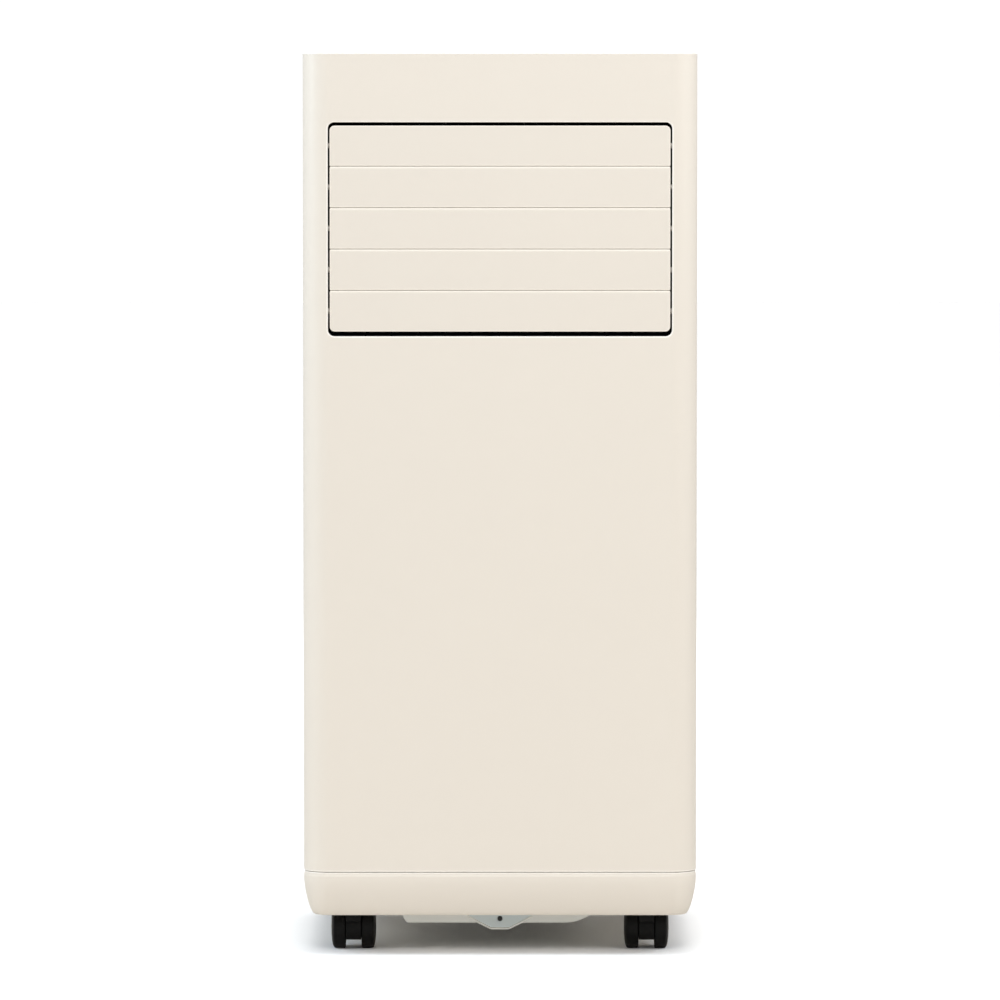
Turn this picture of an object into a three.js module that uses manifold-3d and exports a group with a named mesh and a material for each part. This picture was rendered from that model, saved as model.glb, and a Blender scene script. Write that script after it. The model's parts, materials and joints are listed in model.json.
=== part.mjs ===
// A compact portable air conditioner on casters, taken apart into its separate pieces.
// Millimetres. +X is the right-hand side seen from the front, -Y is the front and +Z is up.
// The origin is on the floor, under the middle of the casing.

import * as THREE from "three";
import { mergeVertices } from "three/addons/utils/BufferGeometryUtils.js";
import Module from "manifold-3d";

const wasm = await Module();
wasm.setup();

// ---------------------------------------------------------------- driving dimensions

// Casing
const WIDTH = 305;
const DEPTH = 325;
const HEIGHT = 700;
const HALF_WIDTH = WIDTH / 2;
const HALF_DEPTH = DEPTH / 2;
const CORNER_RADIUS = 20; // vertical edges, seen from above
const WALL = 2.5;
const GAP = 0.5; // air between fixed neighbours
const FRONT = -HALF_DEPTH;
const REAR = HALF_DEPTH;
const SPLIT_Y = 10; // where the front and rear shells meet
const SHELL_BOTTOM = 67.8;
const CORNER_SIDES = 4; // facets in a quarter round
const SMALL_CORNER_SIDES = 3;
const LEDGE_WIDTH = 4;
const OVERCUT = 1; // how far a cutting tool reaches past what it cuts
const SEAT_GAP = 0.6;

// Base
const CHASSIS_TOP = 66.2;
const CHASSIS_BOTTOM = 31.4;
const CHASSIS_WALL = 5.5;
const SKIRT_TAPER_HEIGHT = 22;
const SKIRT_TAPER_INSET = 6;
const SKIRT_POCKET_INSET = 8.5;
const FLOOR_UNDERSIDE = 40;
const FLOOR_TOP = 43;
const TONGUE_TOP = 75; // lip of the chassis that stands inside the shells
const PAN_FRONT = FRONT + 40;
const PAN_REAR = 118;
const PAN_TOP = 39.5;
const PAN_BOTTOM = 21.6;
const PAN_SHEET = 1.5;
const PAN_HALF_TOP = 84.5;
const PAN_FLANGE_HALF = 90;
const PAN_LIP = { halfTop: 33, halfBottom: 7.6, bottom: 17.4, holeZ: 26.5, holeRadius: 1.9 };

// Air outlet and its louvre
const OUTLET_HALF_WIDTH = 132.75;
const OUTLET_BOTTOM = 481.6;
const OUTLET_TOP = 646.1;
const OUTLET_CORNER = 5;
const SLAT_COUNT = 5;
const SLAT_PITCH = 31.9;
const SLAT_HEIGHT = 31.2;
const SLAT_HALF_WIDTH = 131.4;
const SLAT_SHEET = 2.2;
const SLAT_CHEEK = { inner: 127.5, outer: 131.2, halfBack: 4, halfFront: 9 };
const SLAT_PIN_END = 137;
const SLAT_LIP = { left: -124, right: 120, sheet: 1.6, rise: 3.4, step: 0.6 };
const MERGE = 0.2; // how deep joined forms sink into each other
const SLAT_FRONT = FRONT + 0.5;
const SLAT_BACK = SLAT_FRONT + SLAT_SHEET;
const SLAT_PIVOT_Y = SLAT_FRONT + 7;
const TOP_PIVOT_Z = 628.2;
const PIVOT_PIN_RADIUS = 2.2;
const PIVOT_HOLE_RADIUS = 2.9;
const CRANK_BACK = 21; // crank pin behind the pivot, at rest
const CRANK_UP = 16.1; // and above it
const CRANK_PIN_RADIUS = 1.8;
const CRANK_ARM_RADIUS = 4;
const ROD_ARM_RADIUS = 4.6;
const DRIVE_SHAFT_RADIUS = 2.5;
const CRANK_HOLE_RADIUS = 2.4;
const CRANK_LOW_X = 126.2;
const CRANK_HIGH_X = 129;
const ROD_LOW_X = 121.5;
const ROD_HIGH_X = 124.9;
const DRIVE_OFFSET = 42; // swing motor's axis behind the middle slat's pivot

// Air ducts, fans and coils
const DUCT_HALF_WIDTH = 136;
const DUCT_FRONT = FRONT + 3.7;
const DUCT_BOTTOM = 474;
const DUCT_TOP = 652;
const DUCT_BACK = -8;
const THROAT_LEFT = 10;
const THROAT_RIGHT = 95;
const THROAT_BOTTOM = 566.6;
const THROAT_BACK = 98;
const FAN_X = -8;
const UPPER_FAN = { z: 438, wheel: 58, low: 63, high: 90, front: 30, back: 94, top: 566.2 };
const LOWER_FAN = { z: 122, wheel: 54, low: 59, high: 84, front: 40, back: 104, top: 206.2 };
const CUTWATER_DEGREES = 60;
const BLADE_COUNT = 10;
const BLADE = { depth: 9, thickness: 1.2, lean: 0.35 };
const WHEEL_SIDES = 20;
const SHAFT_RADIUS = 4;
const COIL_HALF_WIDTH = 112;
const TRAY_BOTTOM = 346;
const TRAY_TOP = 349;
const TRAY_RIM = 357;
const TRAY = { half: 138, front: -140, back: 146, corner: 10 };
const PIPE_GAP = { x: -128, y: 100, radius: 8 };
const COMPRESSOR = { x: -78, y: -66, radius: 50 };
const BOX = { left: 62, right: 138, front: -138, back: -62, bottom: 54, top: 246, lid: 4 };
const BOX_RIB_HEIGHTS = [90, 130, 170, 210];

// Rear of the casing
const VENT_HALF_WIDTH = 118;
const UPPER_VENT_BOTTOM = 412;
const UPPER_VENT_TOP = 648;
const LOWER_VENT_BOTTOM = 82;
const LOWER_VENT_TOP = 196;
const VENT_CORNER = 6;
const PORT_Z = 272;
const PORT_BORE = 58;
const PORT_NECK = 65;
const PORT_FLANGE = 72;
const GLAND = { x: -112, z: 232, bore: 4.6, neck: 8.6, flange: 12 };
const UPPER_DRAIN = { x: 108, z: 364, radius: 6.6 };
const LOWER_DRAIN = { x: 0, z: 56, radius: 5.8 };
const GRIP = { front: 46, back: 134, bottom: 580, top: 620, depth: 28, corner: 8 };
const DRAIN_WALL = 3.4;
const PORT_SIDES = 28;
const VENT_BORDER = 10;
const VENT_POST = 9;
const VENT_COLUMNS = 3;
const NOTCH = { rise: 4, radius: 16 };
const FILTER = { half: 113, sheet: 7.4, columns: 3, rows: 4, border: 6 };
const EXHAUST_DUCT = { left: -70, right: 80, front: 40, back: 118, bottom: 206.6, top: 340 };
const COLLAR_INNER_END = 118.5;
const COLLAR_SHOULDER = 155;
const GLAND_INNER_END = 146;
const GLAND_SHOULDER = 154;

// Top and controls
const COVER_BOTTOM = 694;
const COVER_TOP = 697;
const LEDGE_BOTTOM = 690.5;
const PANEL = { half: 95, front: -142, back: -84, top: 697.2, flange: 4, corner: 4.5 };
const PANEL_Y = (PANEL.front + PANEL.back) / 2;
const BUTTON_X = [-78, -58, -38, 38, 58, 78];
const BUTTON_RADIUS = 6;
const BUTTON_FLANGE = 7.5;
const BUTTON_TOP = 697.9;
const WINDOW_HALF_WIDTH = 24;
const WINDOW_HALF_DEPTH = 12;
const BOARD_TOP = 681;
const BOARD = { half: 88, margin: 4, thickness: 1.6 };
const SWITCH = { half: 3, height: 5.4 };
const DISPLAY = { halfWidth: 20, halfDepth: 8 };

// Casters
const CASTER_X = 114.5;
const CASTER_Y = 118;
const CASTER_TRAIL = 11; // axle behind the swivel stem
const TYRE_RADIUS = 18;
const TYRE_SIDES = 16;
const WHEEL_INNER = 6.2;
const WHEEL_TREAD_END = 15;
const WHEEL_OUTER = 17.4;
const WEB_HALF = 5.5;
const WEB_RADIUS = 16.4;
const WEB_BOTTOM = 8;
const AXLE_RADIUS = 2.5;
const STEM_RADIUS = 4;
const STEM_TOP = 49;
const SOCKET_RADIUS = 9;
const COLLAR_RADIUS = 8;
const AXLE_HALF = 14;

// ---------------------------------------------------------------- solids

// A closed geometry as a solid, turned the right way out.
function solidOf(geometry) {
  const bare = geometry.index ? geometry.toNonIndexed() : geometry.clone();
  bare.deleteAttribute("normal");
  bare.deleteAttribute("uv");
  const merged = mergeVertices(bare, 1e-4);
  const corners = merged.index.array;
  const kept = [];
  for (let i = 0; i < corners.length; i += 3) {
    const [a, b, c] = corners.slice(i, i + 3);
    if (a !== b && b !== c && c !== a) kept.push(a, b, c);
  }
  const meshOf = (triangles) => new wasm.Mesh({
    numProp: 3,
    vertProperties: merged.attributes.position.array,
    triVerts: new Uint32Array(triangles),
  });
  const made = new wasm.Manifold(meshOf(kept));
  if (made.volume() > 0) return made;
  return new wasm.Manifold(meshOf(kept.reverse()));
}

function geometryOf(solid) {
  const mesh = solid.getMesh();
  const positions = new Float32Array(mesh.numVert * 3);
  for (let i = 0; i < mesh.numVert; i++) {
    const from = i * mesh.numProp;
    positions.set(mesh.vertProperties.subarray(from, from + 3), i * 3);
  }
  const geometry = new THREE.BufferGeometry();
  geometry.setAttribute("position", new THREE.BufferAttribute(positions, 3));
  geometry.setIndex(new THREE.BufferAttribute(mesh.triVerts, 1));
  geometry.computeVertexNormals();
  return geometry;
}

const join = (...solids) => solids.flat().reduce((whole, next) => whole.add(next));
const cut = (body, ...tools) => tools.flat().reduce((rest, tool) => rest.subtract(tool), body);

function block(x0, x1, y0, y1, z0, z1) {
  const geometry = new THREE.BoxGeometry(x1 - x0, y1 - y0, z1 - z0);
  geometry.translate((x0 + x1) / 2, (y0 + y1) / 2, (z0 + z1) / 2);
  return solidOf(geometry);
}

// The outline's two coordinates are y, z along "x"; x, z along "y"; and x, y along "z".
const EXTRUDE_BASES = {
  x: [[0, 1, 0], [0, 0, 1], [1, 0, 0]],
  y: [[1, 0, 0], [0, 0, 1], [0, -1, 0]],
  z: [[1, 0, 0], [0, 1, 0], [0, 0, 1]],
};

function prism(outline, axis, from, to) {
  const shape = new THREE.Shape(outline.map(([u, v]) => new THREE.Vector2(u, v)));
  const geometry = new THREE.ExtrudeGeometry(shape, { depth: to - from, bevelEnabled: false });
  const basis = EXTRUDE_BASES[axis].map((v) => new THREE.Vector3(...v));
  geometry.applyMatrix4(new THREE.Matrix4().makeBasis(...basis));
  const start = axis === "y" ? to : from;
  geometry.translate(...["x", "y", "z"].map((name) => (name === axis ? start : 0)));
  return solidOf(geometry);
}

// Turns a profile of [radius, distance along the axis] points about an axis through centre.
// With flatDown a facet, not an edge, is lowest.
function turned(profile, axis, centre, sides = 12, flatDown = false) {
  const points = profile.map(([radius, along]) => new THREE.Vector2(radius, along));
  const geometry = new THREE.LatheGeometry(points, sides, flatDown ? Math.PI / sides : 0);
  if (axis === "x") geometry.rotateZ(-Math.PI / 2);
  if (axis === "z") geometry.rotateX(Math.PI / 2);
  geometry.translate(...centre);
  return solidOf(geometry);
}

// A round bar from one distance to another along its axis; across holds its other two coordinates.
function bar(axis, across, radius, from, to, sides = 8) {
  const centre = { x: [0, ...across], y: [across[0], 0, across[1]], z: [...across, 0] }[axis];
  return turned([[0, from], [radius, from], [radius, to], [0, to]], axis, centre, sides);
}

function arcPoints(u, v, radius, fromDegrees, toDegrees, sides) {
  return Array.from({ length: sides + 1 }, (_, i) => {
    const angle = THREE.MathUtils.degToRad(fromDegrees + ((toDegrees - fromDegrees) * i) / sides);
    return [u + radius * Math.cos(angle), v + radius * Math.sin(angle)];
  });
}

function roundedRectangle(u0, u1, v0, v1, radius, sides = CORNER_SIDES) {
  return [
    ...arcPoints(u1 - radius, v1 - radius, radius, 0, 90, sides),
    ...arcPoints(u0 + radius, v1 - radius, radius, 90, 180, sides),
    ...arcPoints(u0 + radius, v0 + radius, radius, 180, 270, sides),
    ...arcPoints(u1 - radius, v0 + radius, radius, 270, 360, sides),
  ];
}

// A flat arm with round ends from one pin to another.
function armOutline([u0, v0], [u1, v1], radius, sides = 3) {
  const tilt = THREE.MathUtils.radToDeg(Math.atan2(v1 - v0, u1 - u0));
  return [
    ...arcPoints(u1, v1, radius, tilt - 90, tilt + 90, sides),
    ...arcPoints(u0, v0, radius, tilt + 90, tilt + 270, sides),
  ];
}

// A round tube or rod swept along a smooth line through the points.
function swept(points, radius, steps, sides = 6) {
  const path = new THREE.CatmullRomCurve3(points.map((p) => new THREE.Vector3(...p)));
  const round = arcPoints(0, 0, radius, 0, 360 - 360 / sides, sides - 1);
  const shape = new THREE.Shape(round.map(([u, v]) => new THREE.Vector2(u, v)));
  return solidOf(new THREE.ExtrudeGeometry(shape, { steps, extrudePath: path }));
}

const casingOutline = (inset) => roundedRectangle(
  -HALF_WIDTH + inset, HALF_WIDTH - inset,
  -HALF_DEPTH + inset, HALF_DEPTH - inset,
  CORNER_RADIUS - inset,
);

// ---------------------------------------------------------------- casing

// The whole casing wall, with the ledge that the top cover rests on.
function casingWall() {
  const wall = cut(
    prism(casingOutline(0), "z", SHELL_BOTTOM, HEIGHT),
    prism(casingOutline(WALL), "z", SHELL_BOTTOM - OVERCUT, HEIGHT + OVERCUT),
  );
  const ledge = cut(
    prism(casingOutline(WALL / 2), "z", LEDGE_BOTTOM, COVER_BOTTOM - GAP),
    prism(casingOutline(WALL + LEDGE_WIDTH), "z", LEDGE_BOTTOM - OVERCUT, COVER_BOTTOM + OVERCUT),
  );
  return wall.add(ledge);
}

function frontShell() {
  const front = block(-WIDTH, WIDTH, -DEPTH, SPLIT_Y - GAP / 2, 0, HEIGHT + 1);
  const outlet = roundedRectangle(
    -OUTLET_HALF_WIDTH, OUTLET_HALF_WIDTH, OUTLET_BOTTOM, OUTLET_TOP, OUTLET_CORNER, SMALL_CORNER_SIDES,
  );
  const through = [FRONT - OVERCUT, FRONT + WALL + OVERCUT];
  return cut(casingWall().intersect(front), prism(outlet, "y", ...through));
}

function gripOpening(side, margin) {
  const outline = roundedRectangle(
    GRIP.front - margin, GRIP.back + margin, GRIP.bottom - margin, GRIP.top + margin,
    GRIP.corner, SMALL_CORNER_SIDES,
  );
  const inner = HALF_WIDTH - WALL - OVERCUT;
  const outer = HALF_WIDTH + OVERCUT;
  const ends = side > 0 ? [inner, outer] : [-outer, -inner];
  return prism(outline, "x", ...ends);
}

function ventOutline(bottom, top, margin) {
  return roundedRectangle(
    -VENT_HALF_WIDTH - margin, VENT_HALF_WIDTH + margin, bottom - margin, top + margin,
    VENT_CORNER, SMALL_CORNER_SIDES,
  );
}

function rearShell() {
  const rear = block(-WIDTH, WIDTH, SPLIT_Y + GAP / 2, DEPTH, 0, HEIGHT + 1);
  const through = [REAR - WALL - OVERCUT, REAR + OVERCUT];
  return cut(
    casingWall().intersect(rear),
    prism(ventOutline(UPPER_VENT_BOTTOM, UPPER_VENT_TOP, GAP), "y", ...through),
    prism(ventOutline(LOWER_VENT_BOTTOM, LOWER_VENT_TOP, GAP), "y", ...through),
    bar("y", [0, PORT_Z], PORT_NECK + 0.9, ...through, PORT_SIDES),
    bar("y", [GLAND.x, GLAND.z], GLAND.neck + 1.2, ...through),
    bar("y", [UPPER_DRAIN.x, UPPER_DRAIN.z], UPPER_DRAIN.radius + 1, ...through),
    gripOpening(1, GAP),
    gripOpening(-1, GAP),
  );
}

function topCover() {
  const opening = roundedRectangle(
    -PANEL.half, PANEL.half, PANEL.front, PANEL.back, PANEL.corner + GAP, SMALL_CORNER_SIDES,
  );
  return cut(
    prism(casingOutline(WALL + GAP), "z", COVER_BOTTOM, COVER_TOP),
    prism(opening, "z", COVER_BOTTOM - OVERCUT, COVER_TOP + OVERCUT),
  );
}

// The skirt narrows towards the floor; a straight bevel on the extrusion makes that taper.
function chassisSkirt() {
  const shape = new THREE.Shape(casingOutline(0).map(([x, y]) => new THREE.Vector2(x, y)));
  const geometry = new THREE.ExtrudeGeometry(shape, {
    depth: CHASSIS_TOP - CHASSIS_BOTTOM,
    bevelEnabled: true,
    bevelThickness: SKIRT_TAPER_HEIGHT,
    bevelSize: SKIRT_TAPER_INSET,
    bevelOffset: -SKIRT_TAPER_INSET,
    bevelSegments: 1,
  });
  geometry.translate(0, 0, CHASSIS_BOTTOM + SKIRT_TAPER_HEIGHT);
  return cut(solidOf(geometry), block(-WIDTH, WIDTH, -DEPTH, DEPTH, CHASSIS_TOP, HEIGHT));
}

function casterSockets(radius, bottom, top) {
  return [-1, 1].flatMap((side) => [-1, 1].map((end) =>
    bar("z", [side * CASTER_X, end * CASTER_Y], radius, bottom, top)));
}

function baseChassis() {
  const tongue = prism(casingOutline(WALL + GAP), "z", FLOOR_TOP, TONGUE_TOP);
  const pocket = prism(casingOutline(CHASSIS_WALL), "z", FLOOR_TOP, TONGUE_TOP + OVERCUT);
  const underside = prism(
    casingOutline(SKIRT_POCKET_INSET), "z", CHASSIS_BOTTOM - OVERCUT, FLOOR_UNDERSIDE,
  );
  const drainAt = [LOWER_DRAIN.x, LOWER_DRAIN.z];
  const tray = cut(chassisSkirt().add(tongue), pocket, underside);
  const bosses = casterSockets(SOCKET_RADIUS, FLOOR_TOP - OVERCUT, STEM_TOP + 3);
  const drainBoss = bar("y", drainAt, LOWER_DRAIN.radius + DRAIN_WALL, REAR - 13.5, REAR - 4);
  const trimmedBoss = cut(drainBoss, block(-20, 20, 0, DEPTH, 0, FLOOR_TOP));
  return cut(
    join(tray, bosses, trimmedBoss),
    casterSockets(STEM_RADIUS + 0.7, FLOOR_UNDERSIDE - OVERCUT, STEM_TOP + 1),
    bar("y", drainAt, LOWER_DRAIN.radius + 1, REAR - 15, REAR + OVERCUT),
  );
}

// Front outline of the pan's bowl: a slanted left end and a long curved right end.
function panBowl(sheet) {
  const top = PAN_TOP + OVERCUT;
  const left = [[-PAN_HALF_TOP + sheet, top], [-77.2 + sheet, 29], [-72.5 + sheet, PAN_BOTTOM + sheet]];
  const bend = new THREE.QuadraticBezierCurve(
    new THREE.Vector2(50.4, PAN_BOTTOM + sheet),
    new THREE.Vector2(68 - sheet, PAN_BOTTOM + sheet),
    new THREE.Vector2(PAN_HALF_TOP - sheet, top),
  );
  return [...left, ...bend.getPoints(6).map((p) => [p.x, p.y])];
}

function basePan() {
  const bowl = cut(
    prism(panBowl(0), "y", PAN_FRONT, PAN_REAR),
    block(-WIDTH, WIDTH, -DEPTH, DEPTH, PAN_TOP, HEIGHT),
  );
  const flange = block(
    -PAN_FLANGE_HALF, PAN_FLANGE_HALF, PAN_FRONT - 4, PAN_REAR + 5, PAN_TOP - PAN_SHEET, PAN_TOP,
  );
  const hollow = prism(panBowl(PAN_SHEET), "y", PAN_FRONT + PAN_SHEET, PAN_REAR - PAN_SHEET);
  const { halfTop, halfBottom, bottom, holeZ, holeRadius } = PAN_LIP;
  const lip = [
    [-halfTop, PAN_TOP - 1], [-halfBottom, bottom], [halfBottom, bottom], [halfTop, PAN_TOP - 1],
  ];
  const tongue = prism(lip, "y", PAN_FRONT - PAN_SHEET, PAN_FRONT + MERGE);
  const hole = bar("y", [0, holeZ], holeRadius, PAN_FRONT - 9, PAN_FRONT + 9, 12);
  return cut(join(bowl, flange, tongue), hollow, hole);
}

// ---------------------------------------------------------------- top panel

function controlPanel() {
  const { half, front, back, top, flange, corner } = PANEL;
  const face = roundedRectangle(
    -half + GAP, half - GAP, front + GAP, back - GAP, corner, SMALL_CORNER_SIDES,
  );
  const under = roundedRectangle(
    -half - flange, half + flange, front - flange, back + flange, corner, SMALL_CORNER_SIDES,
  );
  const plate = join(
    prism(face, "z", COVER_BOTTOM - 1, top),
    prism(under, "z", COVER_BOTTOM - 3.2, COVER_BOTTOM - 0.4),
  );
  const windowSeat = block(
    -WINDOW_HALF_WIDTH - GAP, WINDOW_HALF_WIDTH + GAP,
    PANEL_Y - WINDOW_HALF_DEPTH - GAP, PANEL_Y + WINDOW_HALF_DEPTH + GAP,
    COVER_BOTTOM, top + 1,
  );
  const windowHole = block(
    -WINDOW_HALF_WIDTH + 3, WINDOW_HALF_WIDTH - 3,
    PANEL_Y - WINDOW_HALF_DEPTH + 3, PANEL_Y + WINDOW_HALF_DEPTH - 3,
    COVER_BOTTOM - 9, top,
  );
  const buttonHoles = BUTTON_X.map((x) =>
    bar("z", [x, PANEL_Y], BUTTON_RADIUS + 1, COVER_BOTTOM - 9, top + 1));
  return cut(plate, windowSeat, windowHole, buttonHoles);
}

const displayWindow = () => block(
  -WINDOW_HALF_WIDTH, WINDOW_HALF_WIDTH,
  PANEL_Y - WINDOW_HALF_DEPTH, PANEL_Y + WINDOW_HALF_DEPTH,
  COVER_BOTTOM + GAP, PANEL.top,
);

const pushButton = () => turned([
  [0, COVER_BOTTOM - 6], [BUTTON_FLANGE, COVER_BOTTOM - 6], [BUTTON_FLANGE, COVER_BOTTOM - 4],
  [BUTTON_RADIUS, COVER_BOTTOM - 4], [BUTTON_RADIUS, BUTTON_TOP - 0.6],
  [BUTTON_RADIUS - 0.6, BUTTON_TOP], [0, BUTTON_TOP],
], "z", [0, PANEL_Y, 0]);

// Circuit board with a tact switch under each button and the display module.
function controlBoard() {
  const { half, margin, thickness } = BOARD;
  const board = block(
    -half, half, PANEL.front + margin, PANEL.back - margin, BOARD_TOP - thickness, BOARD_TOP,
  );
  const switches = BUTTON_X.map((x) => block(
    x - SWITCH.half, x + SWITCH.half, PANEL_Y - SWITCH.half, PANEL_Y + SWITCH.half,
    BOARD_TOP - 0.5, BOARD_TOP + SWITCH.height,
  ));
  const display = block(
    -DISPLAY.halfWidth, DISPLAY.halfWidth, PANEL_Y - DISPLAY.halfDepth, PANEL_Y + DISPLAY.halfDepth,
    BOARD_TOP - 0.5, COVER_BOTTOM - 1,
  );
  return join(board, switches, display);
}

// ---------------------------------------------------------------- louvre

const pivotHeight = (index) => TOP_PIVOT_Z - index * SLAT_PITCH;
const crankPin = (index) => [SLAT_PIVOT_Y + CRANK_BACK, pivotHeight(index) + CRANK_UP];
const MIDDLE_SLAT = (SLAT_COUNT - 1) / 2;

// The face of a slat; the first and last ones follow the outlet's rounded corners.
function slatFace(index, bottom, top) {
  const radius = OUTLET_CORNER - 1.2;
  const small = 0.4;
  const upper = index === 0 ? radius : small;
  const lower = index === SLAT_COUNT - 1 ? radius : small;
  const x = SLAT_HALF_WIDTH;
  return [
    ...arcPoints(x - upper, top - upper, upper, 0, 90, 2),
    ...arcPoints(-x + upper, top - upper, upper, 90, 180, 2),
    ...arcPoints(-x + lower, bottom + lower, lower, 180, 270, 2),
    ...arcPoints(x - lower, bottom + lower, lower, 270, 360, 2),
  ];
}

// Overlaps the slat above from behind, so that no light shows between them.
function slatLip(top) {
  const { left, right, sheet, rise, step } = SLAT_LIP;
  const back = SLAT_BACK + step + sheet;
  return join(
    block(left, right, SLAT_BACK - MERGE, back, top - 4, top - MERGE),
    block(left, right, SLAT_BACK + step, back, top - 1, top + rise),
  );
}

function louvreSlat(index) {
  const pivotZ = pivotHeight(index);
  const bottom = pivotZ - SLAT_HEIGHT / 2;
  const top = pivotZ + SLAT_HEIGHT / 2;
  const face = prism(slatFace(index, bottom, top), "y", SLAT_FRONT, SLAT_BACK);
  const { inner, outer, halfBack, halfFront } = SLAT_CHEEK;
  const cheekOutline = [
    [SLAT_BACK - MERGE, pivotZ - halfFront], [SLAT_PIVOT_Y + 4, pivotZ - halfBack],
    [SLAT_PIVOT_Y + 4, pivotZ + halfBack], [SLAT_BACK - MERGE, pivotZ + halfFront],
  ];
  const cheeks = [[-outer, -inner], [inner, outer]].map((span) =>
    prism(cheekOutline, "x", ...span));
  const pivotAt = [SLAT_PIVOT_Y, pivotZ];
  const pinStart = outer - MERGE;
  const pins = [[-SLAT_PIN_END, -pinStart], [pinStart, SLAT_PIN_END]].map((span) =>
    bar("x", pivotAt, PIVOT_PIN_RADIUS, ...span, 8));
  const armShape = armOutline(pivotAt, crankPin(index), CRANK_ARM_RADIUS);
  const arm = prism(armShape, "x", CRANK_LOW_X, CRANK_HIGH_X);
  const pin = bar("x", crankPin(index), CRANK_PIN_RADIUS, ROD_LOW_X - 2, CRANK_LOW_X + 0.5, 8);
  const pieces = [face, ...cheeks, ...pins, arm, pin];
  if (index > 0) pieces.push(slatLip(top));
  return join(pieces);
}

// Upright rod on the slats' crank pins, with a side arm to the swing motor's crank.
function louvreLinkRod() {
  const [rodY, topPinZ] = crankPin(0);
  const [, lowPinZ] = crankPin(SLAT_COUNT - 1);
  const [, driveZ] = crankPin(MIDDLE_SLAT);
  const upright = armOutline([rodY, lowPinZ], [rodY, topPinZ], ROD_ARM_RADIUS);
  const sideArm = armOutline([rodY, driveZ], [rodY + DRIVE_OFFSET, driveZ], ROD_ARM_RADIUS);
  const rod = join(
    prism(upright, "x", ROD_LOW_X, ROD_HIGH_X),
    prism(sideArm, "x", ROD_LOW_X, ROD_HIGH_X),
  );
  const pins = Array.from({ length: SLAT_COUNT }, (_, i) => crankPin(i));
  pins.push([rodY + DRIVE_OFFSET, driveZ]);
  return cut(rod, pins.map((at) =>
    bar("x", at, CRANK_HOLE_RADIUS, ROD_LOW_X - 1, ROD_HIGH_X + 1, 8)));
}

function swingCrank() {
  const axis = [SLAT_PIVOT_Y + DRIVE_OFFSET, pivotHeight(MIDDLE_SLAT)];
  const pinAt = [axis[0] + CRANK_BACK, axis[1] + CRANK_UP];
  return join(
    prism(armOutline(axis, pinAt, CRANK_ARM_RADIUS + 0.4), "x", CRANK_LOW_X, CRANK_HIGH_X),
    bar("x", pinAt, CRANK_PIN_RADIUS, ROD_LOW_X - 2, CRANK_LOW_X + 0.5, 8),
    bar("x", axis, DRIVE_SHAFT_RADIUS, CRANK_HIGH_X - 0.5, DUCT_HALF_WIDTH + 4, 8),
  );
}

function swingMotor() {
  const axis = [SLAT_PIVOT_Y + DRIVE_OFFSET, pivotHeight(MIDDLE_SLAT)];
  const can = bar("x", axis, 14, DUCT_HALF_WIDTH + 1.2, HALF_WIDTH - WALL - 1);
  const ears = block(
    DUCT_HALF_WIDTH + 1.2, DUCT_HALF_WIDTH + 2.4, axis[0] - 20, axis[0] + 20, axis[1] - 4, axis[1] + 4,
  );
  const socket = bar("x", axis, DRIVE_SHAFT_RADIUS + 0.8, DUCT_HALF_WIDTH, DUCT_HALF_WIDTH + 6, 8);
  return cut(can.add(ears), socket);
}

function dischargeDuct() {
  const chamber = block(
    -DUCT_HALF_WIDTH, DUCT_HALF_WIDTH, DUCT_FRONT, DUCT_BACK, DUCT_BOTTOM, DUCT_TOP,
  );
  const throat = block(THROAT_LEFT, THROAT_RIGHT, DUCT_BACK - 1, THROAT_BACK, THROAT_BOTTOM, DUCT_TOP);
  const chamberHollow = block(
    -DUCT_HALF_WIDTH + WALL, DUCT_HALF_WIDTH - WALL,
    DUCT_FRONT - 1, DUCT_BACK - WALL, DUCT_BOTTOM + WALL, DUCT_TOP - WALL,
  );
  const throatHollow = block(
    THROAT_LEFT + WALL, THROAT_RIGHT - WALL,
    DUCT_BACK - 9, THROAT_BACK - WALL, THROAT_BOTTOM + WALL, DUCT_TOP - WALL,
  );
  const outlet = scrollOutlet(UPPER_FAN);
  const inlet = block(
    outlet.left, outlet.right, UPPER_FAN.front + WALL, UPPER_FAN.back - WALL,
    THROAT_BOTTOM - 1, THROAT_BOTTOM + WALL + 1,
  );
  const bearings = Array.from({ length: SLAT_COUNT }, (_, i) =>
    bar("x", [SLAT_PIVOT_Y, pivotHeight(i)], PIVOT_HOLE_RADIUS, -WIDTH, WIDTH, 8));
  const crankHole = bar(
    "x", [SLAT_PIVOT_Y + DRIVE_OFFSET, pivotHeight(MIDDLE_SLAT)], DRIVE_SHAFT_RADIUS + 0.9, 0, WIDTH, 8,
  );
  return cut(chamber.add(throat), chamberHollow, throatHollow, inlet, bearings, crankHole);
}

// ---------------------------------------------------------------- fans

// Inner faces of the upright outlet of a scroll.
function scrollOutlet(fan) {
  const cutwater = THREE.MathUtils.degToRad(CUTWATER_DEGREES);
  return { left: FAN_X + fan.low * Math.cos(cutwater) + WALL, right: FAN_X + fan.high - WALL };
}

// The wall's radius grows steadily from the cutwater round to the outlet.
function scrollOutline(fan, inset, top) {
  const turns = 14;
  const spiral = Array.from({ length: turns + 1 }, (_, i) => {
    const angle = THREE.MathUtils.degToRad(CUTWATER_DEGREES + ((360 - CUTWATER_DEGREES) * i) / turns);
    const radius = fan.low + ((fan.high - fan.low) * i) / turns - inset;
    return [FAN_X + radius * Math.cos(angle), fan.z + radius * Math.sin(angle)];
  });
  const left = FAN_X + fan.low * Math.cos(THREE.MathUtils.degToRad(CUTWATER_DEGREES)) + inset;
  return [[left, top], ...spiral, [FAN_X + fan.high - inset, top]];
}

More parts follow.
